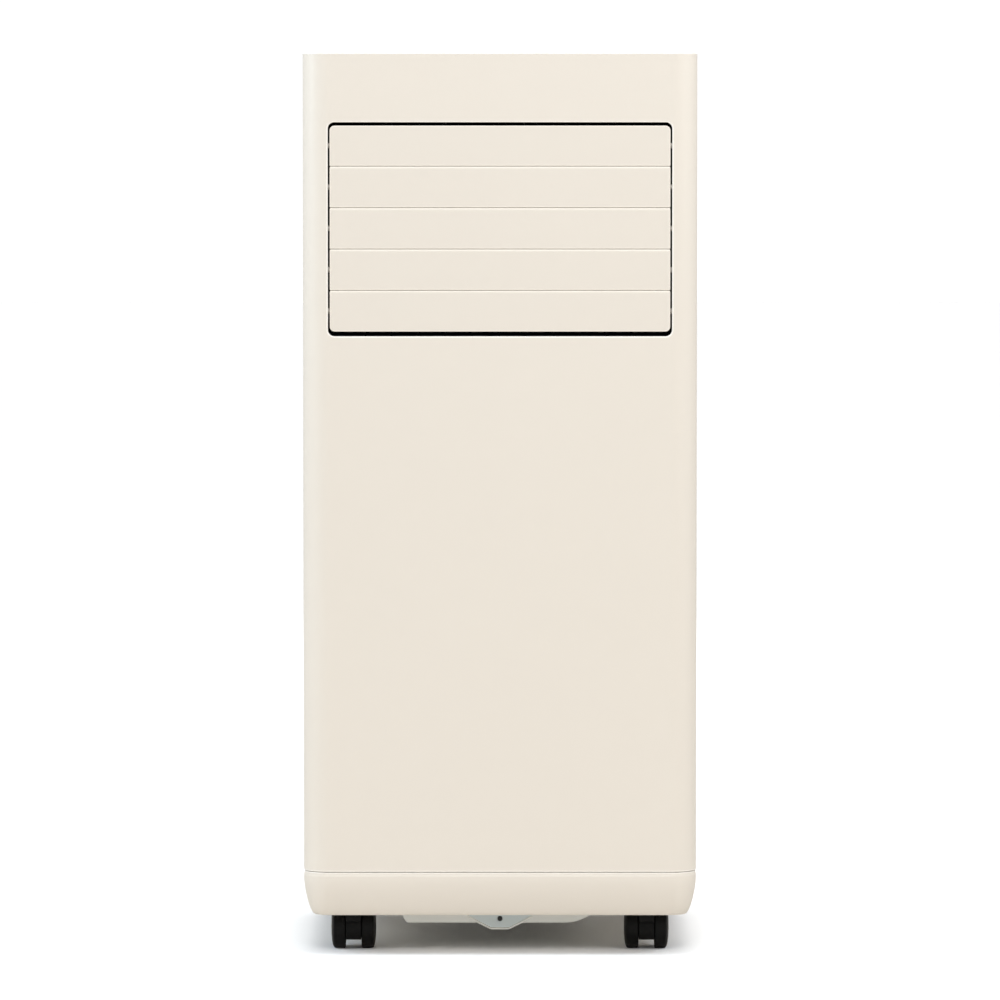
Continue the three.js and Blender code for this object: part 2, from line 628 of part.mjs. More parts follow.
function scrollHousing(fan) {
  const { z, wheel, front, back, top } = fan;
  return cut(
    prism(scrollOutline(fan, 0, top), "y", front, back),
    prism(scrollOutline(fan, WALL, top + 9), "y", front + WALL, back - WALL),
    bar("y", [FAN_X, z], wheel - BLADE.depth, back - WALL - OVERCUT, back + OVERCUT, WHEEL_SIDES),
    bar("y", [FAN_X, z], SHAFT_RADIUS + 5, front - OVERCUT, front + WALL + OVERCUT),
  );
}

// Squirrel-cage wheel: back plate, hub with its shaft, ring of leaning blades and an inlet ring.
function blowerWheel(fan) {
  const { z, wheel, front, back } = fan;
  const start = front + 6;
  const end = back - 6;
  const rim = wheel - BLADE.depth;
  const plateAndHub = turned([
    [0, start - 16], [SHAFT_RADIUS, start - 16], [SHAFT_RADIUS, start], [wheel, start],
    [wheel, start + 2], [11, start + 2], [11, start + 14], [0, start + 14],
  ], "y", [FAN_X, 0, z], WHEEL_SIDES);
  const inletRing = turned([
    [rim, end - 3], [wheel, end - 3], [wheel, end], [rim, end], [rim, end - 3],
  ], "y", [FAN_X, 0, z], WHEEL_SIDES);
  const blades = Array.from({ length: BLADE_COUNT }, (_, i) => {
    const angle = (2 * Math.PI * i) / BLADE_COUNT;
    const geometry = new THREE.BoxGeometry(BLADE.depth, end - start - 2, BLADE.thickness);
    geometry.rotateY(BLADE.lean);
    geometry.translate(wheel - BLADE.depth / 2 - 0.4, (start + end) / 2, 0);
    geometry.rotateY(angle);
    geometry.translate(FAN_X, 0, z);
    return solidOf(geometry);
  });
  return join(plateAndHub, inletRing, blades);
}

function fanMotor(fan, radius, length) {
  const face = fan.front - 1.5;
  const can = turned([
    [0, face - length], [radius - 6, face - length], [radius, face - length + 6],
    [radius, face - 2], [radius + 6, face - 2], [radius + 6, face], [0, face],
  ], "y", [FAN_X, 0, fan.z], 16);
  return cut(can, bar("y", [FAN_X, fan.z], SHAFT_RADIUS + 1.5, face - 14, face + 1));
}

// ---------------------------------------------------------------- refrigeration

// Finned coil with end plates and return bends on its left side.
function coil(front, back, bottom, top, bendCount) {
  const core = block(-COIL_HALF_WIDTH, COIL_HALF_WIDTH, front, back, bottom + 1, top - 1);
  const plates = [-1, 1].map((side) => block(
    side * COIL_HALF_WIDTH - 1, side * COIL_HALF_WIDTH + 1, front - 1.5, back + 1.5, bottom, top,
  ));
  const middle = (front + back) / 2;
  const spacing = (top - bottom) / bendCount;
  const bends = Array.from({ length: bendCount }, (_, i) => {
    const z = bottom + spacing * (i + 0.5);
    const reach = -COIL_HALF_WIDTH - 6;
    const root = -COIL_HALF_WIDTH + 1;
    return swept([
      [root, middle, z - 7], [reach, middle, z - 6], [reach - 2.5, middle, z],
      [reach, middle, z + 6], [root, middle, z + 7],
    ], 2.6, 6);
  });
  return join(core, plates, bends);
}

function partitionTray() {
  const { half, front, back, corner } = TRAY;
  const outer = roundedRectangle(-half, half, front, back, corner, SMALL_CORNER_SIDES);
  const inner = roundedRectangle(
    -half + WALL, half - WALL, front + WALL, back - WALL, corner - 2, SMALL_CORNER_SIDES,
  );
  const drainAt = [UPPER_DRAIN.x, UPPER_DRAIN.z];
  const tray = cut(
    prism(outer, "z", TRAY_BOTTOM, TRAY_RIM),
    prism(inner, "z", TRAY_TOP, TRAY_RIM + OVERCUT),
  );
  const spout = bar("y", drainAt, UPPER_DRAIN.radius + DRAIN_WALL, back - 1.8, REAR - WALL - 1.5);
  return cut(
    tray.add(spout),
    bar("y", drainAt, UPPER_DRAIN.radius + 1, 140, REAR),
    bar("z", [PIPE_GAP.x, PIPE_GAP.y], PIPE_GAP.radius, TRAY_BOTTOM - OVERCUT, TRAY_TOP + OVERCUT),
  );
}

function compressor() {
  const { x, y, radius } = COMPRESSOR;
  return turned([
    [0, 44.5], [34, 44.5], [34, 48], [30, 50], [38, 54], [radius, 62], [radius, 208],
    [radius - 5, 222], [radius - 22, 234], [14, 238], [14, 246], [0, 246],
  ], "z", [x, y, 0], 18);
}

const accumulator = () => turned([
  [0, 84], [6, 84], [6, 90], [18, 96], [20, 102], [20, 196], [18, 202], [7, 210], [7, 216], [0, 216],
], "z", [-8, -100, 0]);

const dischargePipe = () => swept([
  [-100, -66, 237.5], [-100, -65, 262], [-114, -30, 284], [-126, 40, 276],
  [-128, 100, 232], [-126, 126, 206], [-121, 133, 194], [-115.5, 133, 190.5],
], 3.5, 20);

const suctionPipe = () => swept([
  [-118, 127, 377.5], [-123, 120, 373], [-128, 104, 362], [-128, 99, 332],
  [-122, 20, 314], [-60, -80, 300], [-14, -99, 262], [-8, -100, 217],
], 4.5, 22);

// ---------------------------------------------------------------- electrical parts

function electricalBox() {
  const { left, right, front, back, bottom, top, lid: lidHeight } = BOX;
  const around = (margin, low, high) =>
    block(left - margin, right + margin, front - margin, back + margin, low, high);
  const box = around(0, bottom, top);
  const lid = around(2, top, top + lidHeight);
  const ribs = BOX_RIB_HEIGHTS.map((z) => around(1, z, z + 2));
  return join(box, lid, ribs);
}

const runCapacitor = () => turned([
  [0, 44], [19, 44], [19, 118], [17, 121], [6, 121], [6, 127], [0, 127],
], "z", [98, -28, 0]);

// ---------------------------------------------------------------- rear of the casing

function ventSlots(bottom, top, rows, slotHeight) {
  const left = -VENT_HALF_WIDTH + VENT_BORDER;
  const slotWidth = (-2 * left - VENT_POST * (VENT_COLUMNS - 1)) / VENT_COLUMNS;
  const pitch = (top - bottom) / rows;
  return Array.from({ length: rows * VENT_COLUMNS }, (_, i) => {
    const x = left + (i % VENT_COLUMNS) * (slotWidth + VENT_POST);
    const z = bottom + pitch * (Math.floor(i / VENT_COLUMNS) + 0.5) - slotHeight / 2;
    return block(x, x + slotWidth, REAR - WALL - OVERCUT, REAR + OVERCUT, z, z + slotHeight);
  });
}

function upperGrille() {
  const plate = prism(
    ventOutline(UPPER_VENT_BOTTOM, UPPER_VENT_TOP, -0.5), "y", REAR - WALL, REAR,
  );
  const fingerNotch = bar(
    "y", [0, UPPER_VENT_TOP + NOTCH.rise], NOTCH.radius, REAR - WALL - OVERCUT, REAR + OVERCUT, 20,
  );
  return cut(plate, fingerNotch, ventSlots(UPPER_VENT_BOTTOM + 10, UPPER_VENT_TOP - 18, 9, 13));
}

const lowerGrille = () => cut(
  prism(ventOutline(LOWER_VENT_BOTTOM, LOWER_VENT_TOP, -0.3), "y", REAR - WALL, REAR),
  ventSlots(LOWER_VENT_BOTTOM + 8, LOWER_VENT_TOP - 8, 5, 10),
);

function filterFrame() {
  const { half, sheet, columns, rows, border } = FILTER;
  const back = REAR - WALL - SEAT_GAP;
  const front = back - sheet;
  const [bottom, top] = [UPPER_VENT_BOTTOM + 4, UPPER_VENT_TOP - 18];
  const frame = block(-half, half, front, back, bottom, top);
  const windowWidth = (2 * half - border * (columns + 1)) / columns;
  const windowHeight = (top - bottom - border * (rows + 1)) / rows;
  const windows = Array.from({ length: columns * rows }, (_, i) => {
    const x = -half + border + (i % columns) * (windowWidth + border);
    const z = bottom + border + Math.floor(i / columns) * (windowHeight + border);
    return block(x, x + windowWidth, front - OVERCUT, back + OVERCUT, z, z + windowHeight);
  });
  return cut(frame, windows);
}

function exhaustDuct() {
  const { left, right, front, back, bottom, top } = EXHAUST_DUCT;
  const outlet = scrollOutlet(LOWER_FAN);
  return cut(
    block(left, right, front, back, bottom, top),
    block(left + WALL, right - WALL, front + WALL, back - WALL, bottom + WALL, top - WALL),
    block(
      outlet.left, outlet.right, LOWER_FAN.front + WALL, LOWER_FAN.back - WALL, bottom - 1, bottom + WALL + 1,
    ),
    bar("y", [0, PORT_Z], PORT_BORE + 1, back - WALL - OVERCUT, back + OVERCUT, PORT_SIDES),
  );
}

const exhaustCollar = () => turned([
  [PORT_BORE, COLLAR_INNER_END], [PORT_NECK - 2, COLLAR_INNER_END],
  [PORT_NECK - 2, COLLAR_SHOULDER], [PORT_FLANGE, COLLAR_SHOULDER],
  [PORT_FLANGE, REAR - WALL - GAP], [PORT_NECK, REAR - WALL - GAP],
  [PORT_NECK, REAR - 0.3], [PORT_BORE, REAR - 0.3], [PORT_BORE, COLLAR_INNER_END],
], "y", [0, 0, PORT_Z], PORT_SIDES);

const cordGland = () => turned([
  [GLAND.bore, GLAND_INNER_END], [GLAND.neck - 1.5, GLAND_INNER_END],
  [GLAND.neck, GLAND_SHOULDER], [GLAND.flange, GLAND_SHOULDER],
  [GLAND.flange, REAR - WALL - GAP], [GLAND.neck, REAR - WALL - GAP],
  [GLAND.neck, REAR - 0.2], [GLAND.bore, REAR - 0.2], [GLAND.bore, GLAND_INNER_END],
], "y", [GLAND.x, 0, GLAND.z]);

// Rubber bung with a thicker outer end to pull on.
function drainPlug(drain, inner) {
  const { x, z, radius } = drain;
  return turned([
    [0, inner], [radius - 1.2, inner], [radius, inner + 2], [radius, REAR - 1.2],
    [radius - 0.8, REAR - 0.4], [0, REAR - 0.4],
  ], "y", [x, 0, z], 12);
}

function handleCup(side) {
  const { front, back, bottom, top, depth, corner } = GRIP;
  const outer = HALF_WIDTH - 0.3;
  const inner = outer - depth;
  const span = (low, high) => (side > 0 ? [low, high] : [-high, -low]);
  const radius = corner - GAP;
  const outline = roundedRectangle(front, back, bottom, top, radius, SMALL_CORNER_SIDES);
  const hollow = roundedRectangle(
    front + WALL, back - WALL, bottom + WALL, top - WALL, radius - WALL, SMALL_CORNER_SIDES,
  );
  return cut(
    prism(outline, "x", ...span(inner, outer)),
    prism(hollow, "x", ...span(inner + WALL, outer + OVERCUT)),
  );
}

// ---------------------------------------------------------------- casters

// Fork of a twin-wheel caster: web between the wheels, swivel stem and axle in one piece.
function casterFork() {
  const axleAt = [CASTER_TRAIL, TYRE_RADIUS];
  const lowest = THREE.MathUtils.radToDeg(Math.asin((TYRE_RADIUS - WEB_BOTTOM) / WEB_RADIUS));
  const web = prism(
    arcPoints(...axleAt, WEB_RADIUS, -lowest, 180 + lowest, 8), "x", -WEB_HALF, WEB_HALF,
  );
  const neck = block(-WEB_HALF, WEB_HALF, -8, CASTER_TRAIL, TYRE_RADIUS + 2, 37);
  const boss = bar("z", [0, 0], COLLAR_RADIUS, 36.4, FLOOR_UNDERSIDE - SEAT_GAP);
  const stem = bar("z", [0, 0], STEM_RADIUS, 38, STEM_TOP);
  const axle = bar("x", axleAt, AXLE_RADIUS, -AXLE_HALF, AXLE_HALF);
  return join(web, neck, boss, stem, axle);
}

function casterWheel(side) {
  const tread = TYRE_RADIUS / Math.cos(Math.PI / TYRE_SIDES);
  const bore = AXLE_RADIUS + 0.6;
  const profile = [
    [bore, WHEEL_INNER], [tread, WHEEL_INNER], [tread, WHEEL_TREAD_END - 2],
    [tread - 3, WHEEL_TREAD_END + 1.2], [6, WHEEL_OUTER], [0, WHEEL_OUTER],
    [0, AXLE_HALF + SEAT_GAP], [bore, AXLE_HALF + SEAT_GAP], [bore, WHEEL_INNER],
  ];
  const placed = profile.map(([radius, x]) => [radius, side * x]);
  return turned(placed, "x", [0, CASTER_TRAIL, TYRE_RADIUS], TYRE_SIDES, true);
}

// ---------------------------------------------------------------- materials

const finish = (color, roughness, metalness = 0) =>
  new THREE.MeshStandardMaterial({ color, roughness, metalness });

const casingPlastic = finish(0xece2d5, 0.45);
const slatPlastic = finish(0xeee5da, 0.42);
const panPaint = finish(0xb4b9b2, 0.4, 0.3);
const panelPlastic = finish(0x1b1c1e, 0.2);
const buttonPlastic = finish(0xe9e3da, 0.4);
const smokedGlass = finish(0x101214, 0.08);
const boardLaminate = finish(0x2f6b45, 0.6);
const ductPlastic = finish(0xe8e8e4, 0.7);
const fanPlastic = finish(0x3a3d40, 0.55);
const motorSteel = finish(0x9a9da0, 0.4, 0.9);
const coilAluminium = finish(0xc3c7ca, 0.45, 0.9);
const copper = finish(0xb8734a, 0.35, 0.9);
const compressorPaint = finish(0x202224, 0.45, 0.2);
const boxSteel = finish(0xaeb2b3, 0.4, 0.8);
const capacitorCan = finish(0xd2d4d4, 0.35, 0.8);
const filterPlastic = finish(0x6e7478, 0.6);
const rubber = finish(0x2a2a2a, 0.85);
const casterNylon = finish(0x121212, 0.5);

// ---------------------------------------------------------------- assembly

const group = new THREE.Group();

function place(name, solid, material, position = [0, 0, 0]) {
  const mesh = new THREE.Mesh(geometryOf(solid), material);
  mesh.name = name;
  mesh.position.set(...position);
  group.add(mesh);
}

place("front_shell", frontShell(), casingPlastic);
place("rear_shell", rearShell(), casingPlastic);
place("top_cover", topCover(), casingPlastic);
place("base_chassis", baseChassis(), casingPlastic);
place("base_pan", basePan(), panPaint);
place("handle_cup_left", handleCup(-1), casingPlastic);
place("handle_cup_right", handleCup(1), casingPlastic);

place("control_panel", controlPanel(), panelPlastic);
place("display_window", displayWindow(), smokedGlass);
place("control_board", controlBoard(), boardLaminate);
BUTTON_X.forEach((x, i) => place(`button_${i + 1}`, pushButton(), buttonPlastic, [x, 0, 0]));

for (let i = 0; i < SLAT_COUNT; i++) place(`louvre_slat_${i + 1}`, louvreSlat(i), slatPlastic);
place("louvre_link_rod", louvreLinkRod(), fanPlastic);
place("swing_crank", swingCrank(), fanPlastic);
place("swing_motor", swingMotor(), motorSteel);
place("discharge_duct", dischargeDuct(), fanPlastic);

place("upper_scroll_housing", scrollHousing(UPPER_FAN), ductPlastic);
place("upper_blower_wheel", blowerWheel(UPPER_FAN), fanPlastic);
place("upper_fan_motor", fanMotor(UPPER_FAN, 26, 50), motorSteel);
place("lower_scroll_housing", scrollHousing(LOWER_FAN), ductPlastic);
place("lower_blower_wheel", blowerWheel(LOWER_FAN), fanPlastic);
place("lower_fan_motor", fanMotor(LOWER_FAN, 24, 46), motorSteel);

place("evaporator_coil", coil(112, 142, 372, 642, 5), coilAluminium);
place("condenser_coil", coil(118, 148, 60, 197, 3), coilAluminium);
place("partition_tray", partitionTray(), ductPlastic);
place("compressor", compressor(), compressorPaint);
place("accumulator", accumulator(), compressorPaint);
place("discharge_pipe", dischargePipe(), copper);
place("suction_pipe", suctionPipe(), copper);

place("electrical_box", electricalBox(), boxSteel);
place("run_capacitor", runCapacitor(), capacitorCan);

place("intake_grille", upperGrille(), casingPlastic);
place("filter_frame", filterFrame(), filterPlastic);
place("condenser_grille", lowerGrille(), casingPlastic);
place("exhaust_duct", exhaustDuct(), ductPlastic);
place("exhaust_collar", exhaustCollar(), casingPlastic);
place("cord_gland", cordGland(), rubber);
place("upper_drain_plug", drainPlug(UPPER_DRAIN, 146), rubber);
place("lower_drain_plug", drainPlug(LOWER_DRAIN, 151), rubber);

const CASTERS = { front_left: [-1, -1], front_right: [1, -1], rear_left: [-1, 1], rear_right: [1, 1] };
for (const [corner, [side, end]] of Object.entries(CASTERS)) {
  const stem = [side * CASTER_X, end * CASTER_Y, 0];
  place(`caster_fork_${corner}`, casterFork(), casterNylon, stem);
  place(`caster_wheel_${corner}_outer`, casterWheel(side), casterNylon, stem);
  place(`caster_wheel_${corner}_inner`, casterWheel(-side), casterNylon, stem);
}

export default group;
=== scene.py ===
"""The finished look of a compact portable air conditioner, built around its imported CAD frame.

Metres. +X is the right-hand side seen from the front, -Y is the front and +Z is up.
"""

import json
from math import asin, atan2, copysign, cos, degrees, pi, radians, sin

import bmesh
import bpy
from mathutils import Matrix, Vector


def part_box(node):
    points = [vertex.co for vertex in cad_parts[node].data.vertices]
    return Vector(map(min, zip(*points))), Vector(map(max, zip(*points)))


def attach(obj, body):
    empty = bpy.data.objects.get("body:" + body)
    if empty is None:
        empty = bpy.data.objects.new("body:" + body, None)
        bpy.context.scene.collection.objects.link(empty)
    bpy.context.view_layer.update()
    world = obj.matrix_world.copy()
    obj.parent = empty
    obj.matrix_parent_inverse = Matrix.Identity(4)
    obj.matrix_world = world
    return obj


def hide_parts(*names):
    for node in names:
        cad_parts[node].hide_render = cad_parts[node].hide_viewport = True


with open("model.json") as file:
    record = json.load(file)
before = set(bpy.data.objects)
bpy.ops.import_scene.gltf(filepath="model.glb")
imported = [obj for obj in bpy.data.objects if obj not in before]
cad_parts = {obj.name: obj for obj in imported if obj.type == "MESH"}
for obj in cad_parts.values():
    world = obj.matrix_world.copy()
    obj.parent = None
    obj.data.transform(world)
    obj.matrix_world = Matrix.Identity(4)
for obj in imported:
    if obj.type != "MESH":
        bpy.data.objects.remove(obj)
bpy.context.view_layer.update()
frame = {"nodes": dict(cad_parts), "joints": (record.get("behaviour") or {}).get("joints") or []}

# ---- places and sizes from the frame

PIVOTS = {joint["name"]: Vector(joint["pos_m"]) for joint in frame["joints"] if "pos_m" in joint}
FRONT_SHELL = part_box("front_shell")
REAR_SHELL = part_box("rear_shell")
HALF_WIDTH = FRONT_SHELL[1].x
FRONT = FRONT_SHELL[0].y
REAR = REAR_SHELL[1].y
HEIGHT = FRONT_SHELL[1].z
SPLIT_Y = (FRONT_SHELL[1].y + REAR_SHELL[0].y) / 2
CORNERS = ("front_left", "front_right", "rear_left", "rear_right")
BUTTONS = range(1, 7)
SLATS = range(1, 6)

# ---- sizes that the frame doesn't state

# Roundings of edges, from a printed mark's to a casing sheet's.
PRINTED = 0.00002
CRISP = 0.0001
FINE = 0.0002
EDGE = 0.0003
EASED = 0.0004
SOFT = 0.0005
ROUNDED = 0.0006
BROAD = 0.0008

CORNER_RADIUS = 0.02
CORNER_STEPS = 14
WALL = 0.0025
GAP = 0.0005
SPLIT_GAP = 0.0012
SHELL_BOTTOM = 0.0657
LEDGE = (0.6905, 0.6935)
LEDGE_WIDTH = 0.004
INNER_REAR = REAR - WALL - GAP

CHASSIS_FLOOR = 0.043
FLOOR_SHEET = 0.003
STEM_SOCKET = 0.0047
STEM_BOSS = 0.009
STEM_BOSS_TOP = 0.0524

OUTLET_SIDE_GAP = 0.00135
OUTLET_TOP_GAP = 0.0025
OUTLET_BOTTOM_GAP = 0.0036
OUTLET_CORNER = 0.005
SLAT_HEIGHT = 0.0312
SLAT_HALF = 0.1314
SLAT_SHEET = 0.0022
SLAT_CORNER = 0.0038
SLAT_JOINT = 0.0007
SLAT_RIBS = (-0.066, 0.0, 0.066)
RIB_SHEET = 0.0012
CHEEK_X = 0.1312
CHEEK_SHEET = 0.0037
CHEEK_TIP = 0.004
CHEEK_ROOT = 0.009
PIN_RADIUS = 0.0022
PIN_SPAN = (0.131, 0.137)
CRANK_PIN = Vector((0.021, 0.0161))
CRANK_PIN_RADIUS = 0.0018
CRANK_PIN_SPAN = (0.1195, 0.1267)
CRANK_ARM_X = 0.129
CRANK_ARM_HALF = 0.004
CRANK_ARM_SHEET = 0.0028
LIP_X = 0.12
LIP_LENGTH = 0.244
VANE_COUNT = 11
VANE_PITCH = 0.021
VANE_SHEET = 0.0016
VANE_DEPTHS = (0.046, 0.078)
TIE_BAR_DEPTH = 0.05
TIE_BAR_INSET = 0.045
TIE_BAR_RADIUS = 0.0016

PANEL_HALF = 0.0945
PANEL_FRONT = -0.1415
PANEL_BACK = -0.0845
PANEL_Y = (PANEL_FRONT + PANEL_BACK) / 2
PANEL_CORNER = 0.0045
PANEL_SHEET = 0.003
BUTTON_RADIUS = 0.006
SIGN_STROKE = 0.0006
SEGMENTS = {"2": "abged", "4": "fgbc"}
DIGIT_START = -0.0102
DIGIT_PITCH = 0.014
DIGIT_WIDTH = 0.0064
DIGIT_HEIGHT = 0.012
DIGIT_STROKE = 0.0012
DIGIT_RISE = 0.00006

VENT_GAP = 0.0008
VENT_CORNER = 0.006
VENT_BORDER = 0.01
VENT_COLUMNS = 3
VENT_POST = 0.009
SLOT_HEIGHT = 0.0062
NOTCH_RADIUS = 0.016
NOTCH_RISE = 0.004
FILTER_BORDER = 0.006
NET_PITCH = 0.0026
NET_THREAD = 0.00045
COIL_REACH = 0.112
FIN_PITCH = 0.0022
FIN_SHEET = 0.0003
BEND_RADIUS = 0.0026
BEND_RISE = 0.007
PORT_RADIUS = 0.0655
PORT_BORE = 0.058
GUARD_RINGS = (0.012, 0.023, 0.034, 0.045, 0.0555)
GLAND_HOLE = 0.0094
DRAIN_HOLES = (0.0074, 0.0068)
BUNGS = (0.0066, 0.0058)
GRIP_CORNER = 0.0075
SCREW_PLACES = [(side * 0.1345, z) for side in (-1, 1) for z in (0.1, 0.3, 0.4, 0.665)]
SCREW_HOLE = 0.0034
SCREW_HEAD = 0.0031
SCREW_SUNK = 0.0009
SCREW_TURN = 0.4

PAN_SETBACK = 0.04
PAN_SHEET = 0.0015
PAN_BOTTOM = 0.0214
PAN_HALF = 0.0845
LIP_HOLE_HEIGHT = 0.0249
BOLT_HOLE = 0.0021
HOLE_SHADE_RADIUS = 0.0019

WEB_HALF = 0.006
WEB_RADIUS = 0.0177
WEB_NOTCH = 0.008
NECK_TOP = 0.037
STEM_COLLAR = 0.008
STEM_RADIUS = 0.004
STEM_TOP = 0.049
AXLE_RADIUS = 0.0025
AXLE_HALF = 0.014


# ---- outlines

def arc(u, v, radius, start, end, steps):
    """Points round an arc from one angle to another, in degrees, with both ends."""
    angles = [radians(start + (end - start) * i / steps) for i in range(steps + 1)]
    return [(u + radius * cos(a), v + radius * sin(a)) for a in angles]


def circle(u, v, radius, steps):
    return arc(u, v, radius, 0, 360 - 360 / steps, steps - 1)


def rectangle(u0, u1, v0, v1):
    return [(u0, v0), (u1, v0), (u1, v1), (u0, v1)]


def round_box(u0, u1, v0, v1, radius, lower=None, steps=6):
    """A rectangle with round corners; lower is the radius of its two bottom corners, if it differs."""
    lower = radius if lower is None else lower
    return (
        arc(u1 - radius, v1 - radius, radius, 0, 90, steps)
        + arc(u0 + radius, v1 - radius, radius, 90, 180, steps)
        + arc(u0 + lower, v0 + lower, lower, 180, 270, steps)
        + arc(u1 - lower, v0 + lower, lower, 270, 360, steps)
    )


def arm_outline(start, end, radius, steps=6):
    """A flat arm with round ends between two points."""
    tilt = degrees(atan2(end[1] - start[1], end[0] - start[0]))
    return (
        arc(end[0], end[1], radius, tilt - 90, tilt + 90, steps)
        + arc(start[0], start[1], radius, tilt + 90, tilt + 270, steps)
    )


def bar_mark(x, y, length, width, tilt=0.0):
    """A short straight stroke with round ends, centred on a point."""
    step = Vector((cos(tilt), sin(tilt))) * (length - width) / 2
    return arm_outline((x - step.x, y - step.y), (x + step.x, y + step.y), width / 2, 4)


def ring_mark(x, y, radius, width, start, end, steps=28):
    """A stroke along an arc."""
    outer = arc(x, y, radius + width / 2, start, end, steps)
    inner = arc(x, y, radius - width / 2, end, start, steps)
    return outer + inner


def bezier(start, first, second, end, steps):
    """Points along a cubic curve that leaves start towards first and reaches end from second."""
    a, b, c, d = (Vector(corner) for corner in (start, first, second, end))
    points = []
    for i in range(steps + 1):
        t = i / steps
        points.append(a * (1 - t) ** 3 + b * 3 * t * (1 - t) ** 2 + c * 3 * t ** 2 * (1 - t) + d * t ** 3)
    return points


def inset(loop, amount):
    """An anticlockwise loop moved inwards by an amount."""
    moved = []
    for i, point in enumerate(loop):
        here = Vector(point)
        first = (here - Vector(loop[i - 1])).normalized()
        second = (Vector(loop[(i + 1) % len(loop)]) - here).normalized()
        along = (first + second).normalized()
        inwards = Vector((-along.y, along.x))
        stretch = 1 / max(0.3, inwards.dot(Vector((-first.y, first.x))))
        moved.append(here + inwards * amount * stretch)
    return moved


# ---- closed forms, each a bmesh

def ring(bm, loop, depth):
    return [bm.verts.new((u, v, depth)) for u, v in loop]


def skin(bm, rings, closed=False):
    """Quads between neighbouring rings of vertices; closed also joins the last ring to the first."""
    pairs = list(zip(rings, rings[1:]))
    if closed:
        pairs.append((rings[-1], rings[0]))
    for low, high in pairs:
        for i in range(len(low)):
            bm.faces.new((low[i - 1], low[i], high[i], high[i - 1]))


def cap(bm, rings):
    """Fills the space inside the first ring, around the others."""
    edges = [bm.edges.get((ring[i - 1], ring[i])) for ring in rings for i in range(len(ring))]
    bmesh.ops.triangle_fill(bm, use_beauty=True, edges=edges)


def skinned(bm, rings, closed=False):
    """A skin over rings, with both ends capped unless it is closed into a loop."""
    skin(bm, rings, closed)
    if not closed:
        cap(bm, [rings[0]])
        cap(bm, [rings[-1]])
    return bm


def edge_section(thickness, front, back, steps):
    """A plate's rounded edge as (inset, depth) pairs, from its front face to its back face."""
    quarter = [radians(90 * i / steps) for i in range(steps + 1)]
    near = [(front * (1 - sin(a)), front * (1 - cos(a))) for a in quarter]
    far = [(back * (1 - cos(a)), thickness - back * (1 - sin(a))) for a in quarter]
    return near + far


def plate(outline, thickness, holes=(), front=SOFT, back=FINE, steps=3):
    """A flat plate with rounded edges and holes: u and v lie in its plane, and depth goes into it."""
    bm = bmesh.new()
    section = edge_section(thickness, front, back, steps)
    walls = []
    for loop, side in [(outline, 1)] + [(hole, -1) for hole in holes]:
        walls.append([ring(bm, inset(loop, side * amount), depth) for amount, depth in section])
        skin(bm, walls[-1])
    cap(bm, [rings[0] for rings in walls])
    cap(bm, [rings[-1] for rings in walls])
    return bm


def facing(side, face):
    """Where a plate's point goes when the plate faces that side, with its front face at that place."""
    return {
        "front": lambda p: (p.x, face + p.z, p.y),
        "rear": lambda p: (p.x, face - p.z, p.y),
        "left": lambda p: (face + p.z, p.x, p.y),
        "right": lambda p: (face - p.z, p.x, p.y),
        "top": lambda p: (p.x, p.y, face - p.z),
    }[side]


def mapped(bm, place):
    for vertex in bm.verts:
        vertex.co = Vector(place(vertex.co))
    return bm


def panel(side, face, outline, thickness, **edges):
    return mapped(plate(outline, thickness, **edges), facing(side, face))


def printed(face, outline, thickness):
    """A mark on top of a surface, hardly proud of it."""
    return panel("top", face, outline, thickness, front=PRINTED, back=PRINTED)


def thread(x0, x1, y0, y1, z0, z1):
    """A thin square thread or fin, with sharp edges."""
    bm = bmesh.new()
    rings = [ring(bm, rectangle(x0, x1, y0, y1), z) for z in (z0, z1)]
    skin(bm, rings)
    bm.faces.new(rings[0])
    bm.faces.new(rings[1])
    return bm


def lofted(outline, section, closed=True, place=lambda p: p):
    """Rings of an outline at (inset, height) pairs; closed makes a tube of section, else ends are capped."""
    bm = bmesh.new()
    rings = [ring(bm, inset(outline, amount), height) for amount, height in section]
    return mapped(skinned(bm, rings, closed), place)


def turned(profile, axis, centre, sides, closed=False):
    """Turns (radius, distance) pairs about an axis through centre; a profile that isn't closed is capped."""
    bm = bmesh.new()
    rings = [ring(bm, circle(0, 0, radius, sides), along) for radius, along in profile]
    x, y, z = centre
    turn = {
        "x": lambda p: (x + p.z, y + p.x, z + p.y),
        "y": lambda p: (x + p.x, y + p.z, z + p.y),
        "z": lambda p: (x + p.x, y + p.y, z + p.z),
    }[axis]
    return mapped(skinned(bm, rings, closed), turn)


def rod(axis, centre, radius, low, high, edge=EDGE, sides=24):
    """A round bar with slightly rounded ends."""
    profile = [(radius - edge, low), (radius, low + edge), (radius, high - edge), (radius - edge, high)]
    return turned(profile, axis, centre, sides)


def tube(points, radius, sides, steps):
    """A round tube along a smooth line through the points, or straight between them with one step."""
    line = smooth_line([Vector(p) for p in points], steps)
    bm = bmesh.new()
    rings = []
    across = Vector((0, 0, 1)).cross(line[1] - line[0])
    for i, point in enumerate(line):
        ahead = line[min(i + 1, len(line) - 1)] - line[max(i - 1, 0)]
        ahead.normalize()
        across = (across - ahead * across.dot(ahead)).normalized()
        up = ahead.cross(across)
        rings.append([bm.verts.new(point + across * u + up * v) for u, v in circle(0, 0, radius, sides)])
    return skinned(bm, rings)


def smooth_line(points, steps):
    """A Catmull-Rom line through the points."""
    ends = [points[0] * 2 - points[1], *points, points[-1] * 2 - points[-2]]
    line = []
    for a, b, c, d in zip(ends, ends[1:], ends[2:], ends[3:]):
        for i in range(steps):
            t = i / steps
            line.append(0.5 * (2 * b + (c - a) * t + (2 * a - 5 * b + 4 * c - d) * t ** 2
                               + (3 * b - a - 3 * c + d) * t ** 3))
    return line + [points[-1]]


